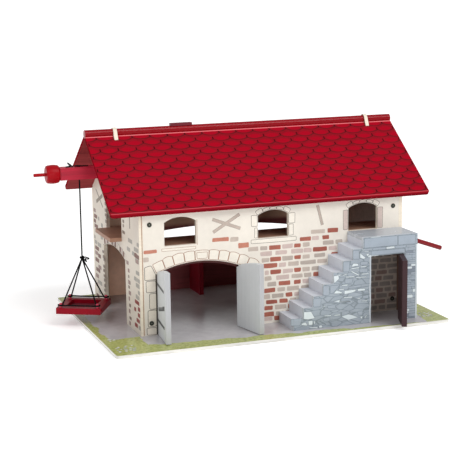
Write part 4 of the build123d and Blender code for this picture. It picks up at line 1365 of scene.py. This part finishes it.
def printStairs():  # stones over the rubble, the landing's band, the lintel, the layered pillar
    rng = random.Random(31)
    shapes = []
    for stones, ink, width, corner in (
        (blockStones, "stairBlock", 0.7, 2.2), (lightStones, "stairLight", 0.6, 1.4),
    ):
        for outline in stones:
            shapes += drawnStone(outline, ink, "stairJoint", width, corner)
    for stones, place, joint, corner in ((bandStones, "band", 0.6, 2), (thinStones, "thin", 0.5, 1.4)):
        x = stairParts["rowsFrom"]
        for length, ink in stones:
            outline = wornBox(x, x + length, *stairParts[place], rng, 0.4)
            shapes += drawnStone(outline, ink, "stairJoint", joint, corner)
            x += length + joint
    lintel = wornBox(*stairParts["lintel"], rng, 0.3)
    shapes += drawnStone(lintel, "stairSmooth", "stairJoint", 0.6, 1.6)
    z = pillar["low"]
    while z < pillar["top"]:
        high = z + rng.choice(pillar["heights"])
        split = rng.uniform(*pillar["split"])
        for a, b in ((pillar["left"], split), (split + 0.5, pillar["right"])):
            outline = softCorners(wornBox(a, b, z, high - pillar["gap"], rng, 0.25), 0.8, 2)
            shapes.append((outline, layer["fill"], rng.choice(pillar["inks"])))
        z = high
    shapes.append((plainBox(*stairParts["pillarBack"]), layer["line"], "stairJoint"))
    shapes.append((plainBox(*stairParts["cutEdge"]), layer["line"], "stairEdge"))
    shapes.append((stroke(stairParts["doorEdge"], 1.7), layer["fill"], "stairEdge"))
    printShapes("stairStones", "stairs", shapes, "barn")


def printLeaves():  # straps, a stile line and a latch bar on the outer faces of the leaves
    line, fill = layer["line"], layer["fill"]
    shapes = []
    for near, far in ((97.5, 95.0), (33.2, 31.6)):
        shapes.append((stroke([(3.5, near), (60, far)], leafLook["strap"]), line, "leafLine"))
    shapes.append((stroke([(1.5, 8), (1.5, 116)], leafLook["stile"]), line, "leafLine"))
    shapes.append((stroke([(11, 54), (62, 66.5)], leafLook["latch"]), fill, "leafLatch"))
    shapes.append((stroke([(12, 52.6), (61.5, 64.4)], leafLook["latchLine"]), fill + 0.03, "leafLine"))
    catch = softCorners([(47, 60), (63, 63.5), (63, 71), (47, 67.5)], 1.2)
    shapes.append((catch, fill + 0.06, "leafLine"))
    printShapes("leftLeafPrint", "leftLeaf", shapes, "left_leaf")
    printShapes("rightLeafPrint", "rightLeaf", shapes, "right_leaf")


# middle, reach and number of the cobbles in each corner of the grass
cobblePatches = [
    (-283, -182, 17, 15), (-294, -124, 7, 6), (284, -172, 15, 14), (287, 120, 16, 12),
    (-280, 196, 14, 10),
]


def printGround():  # cobbles in the grass
    rng = random.Random(43)
    shapes = []
    for x, y, spread, count in cobblePatches:
        laid = []
        for _ in range(count * 6):
            px, py = x + rng.uniform(-1, 1) * spread, y + rng.uniform(-1, 1) * spread
            size = rng.uniform(2.6, 4.6)
            if all(math.dist((px, py), (a, b)) > (size + s) * 0.95 for a, b, s in laid):
                laid.append((px, py, size))
            if len(laid) >= count:
                break
        for px, py, size in laid:
            squash, turn = rng.uniform(0.6, 0.9), rng.uniform(0, 3)
            outline = []
            for k in range(9):
                t = 2 * math.pi * k / 9
                r = size * rng.uniform(0.88, 1.1)
                a, b = r * math.cos(t), r * math.sin(t) * squash
                outline.append((
                    px + a * math.cos(turn) - b * math.sin(turn),
                    py + a * math.sin(turn) + b * math.cos(turn),
                ))
            ink = rng.choice(("cobblePale", "cobbleGrey", "cobblePale"))
            shapes += drawnStone(outline, ink, "cobbleEdge", 0.4, 0.8)
    printShapes("groundCobbles", "ground", shapes, "barn")


printStairs()
printLeaves()
printGround()
print("stairs, leaves and ground printed")

turned = dict(
    knobRound=4.2, knobSwell=0.8, knobBore=3.0, axleRound=2.2, axleStep=1.1, axleBevel=0.4,
    pegFoot=30.5, pegSide=11.1, pegDome=2.4, radius=3.0,
)


def dress(piece, paint, node, body):
    piece.data.materials.clear()
    piece.data.materials.append(paints[paint])
    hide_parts(node)
    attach(piece, body)


def makeKnob():  # rounded at both ends, its side a little swollen
    low, high = boxOf("winch_knob")
    length, end, swell = high[0] - low[0], turned["knobRound"], turned["knobSwell"]
    side = high[2] - hoist["axle"] - swell
    turns = [math.pi / 2 * k / 8 for k in range(9)]
    profile = [(0.0, turned["knobBore"])]
    profile += [(end * (1 - math.cos(t)), side - end * (1 - math.sin(t))) for t in turns]
    profile += [
        (end + (length - 2 * end) * k / 8, side + swell * math.sin(math.pi * k / 8)) for k in range(1, 8)
    ]
    profile += [(length - end * (1 - math.cos(t)), side - end * (1 - math.sin(t))) for t in turns[::-1]]
    profile += [(length, turned["knobBore"]), profile[0]]
    knob = lathe("turnedKnob", profile, (low[0], barn["ridge"], hoist["axle"]), (1, 0, 0), 64)
    dress(knob, "redGloss", "winch_knob", "winch")


def makeAxle():  # its outer end rounded, its inner end bevelled
    low, high = boxOf("winch_axle")
    length, radius, step = high[0] - low[0], turned["radius"], turned["axleStep"]
    profile = [(0, 0)]
    for k in range(1, 8):
        t = math.pi / 2 * k / 7
        profile.append((turned["axleRound"] * (1 - math.cos(t)), radius - step + step * math.sin(t)))
    bevel = turned["axleBevel"]
    profile += [(length - bevel, radius), (length, radius - bevel), (length, 0)]
    axle = lathe("turnedAxle", profile, (low[0], barn["ridge"], hoist["axle"]), (1, 0, 0), 32)
    dress(axle, "redGloss", "winch_axle", "winch")


def makePegs():  # four pegs with domed tops
    side, radius = turned["pegSide"], turned["radius"]
    pegs = []
    for peg in pegPlaces():
        spot = trayPlace(peg.x, peg.y, turned["pegFoot"]) / mm
        profile = [(0, 0), (0, radius), (side, radius)]
        for k in range(1, 7):
            t = math.pi / 2 * k / 7
            profile.append((side + turned["pegDome"] * math.sin(t), radius * math.cos(t)))
        profile.append((side + turned["pegDome"], 0))
        pegs.append(lathe("peg", profile, spot, (0, 0, 1), 28))
    dress(joined("domedPegs", pegs), "pegRed", "tray_pegs", "tray")


makeKnob()
makeAxle()
makePegs()
print("turned pieces stand")
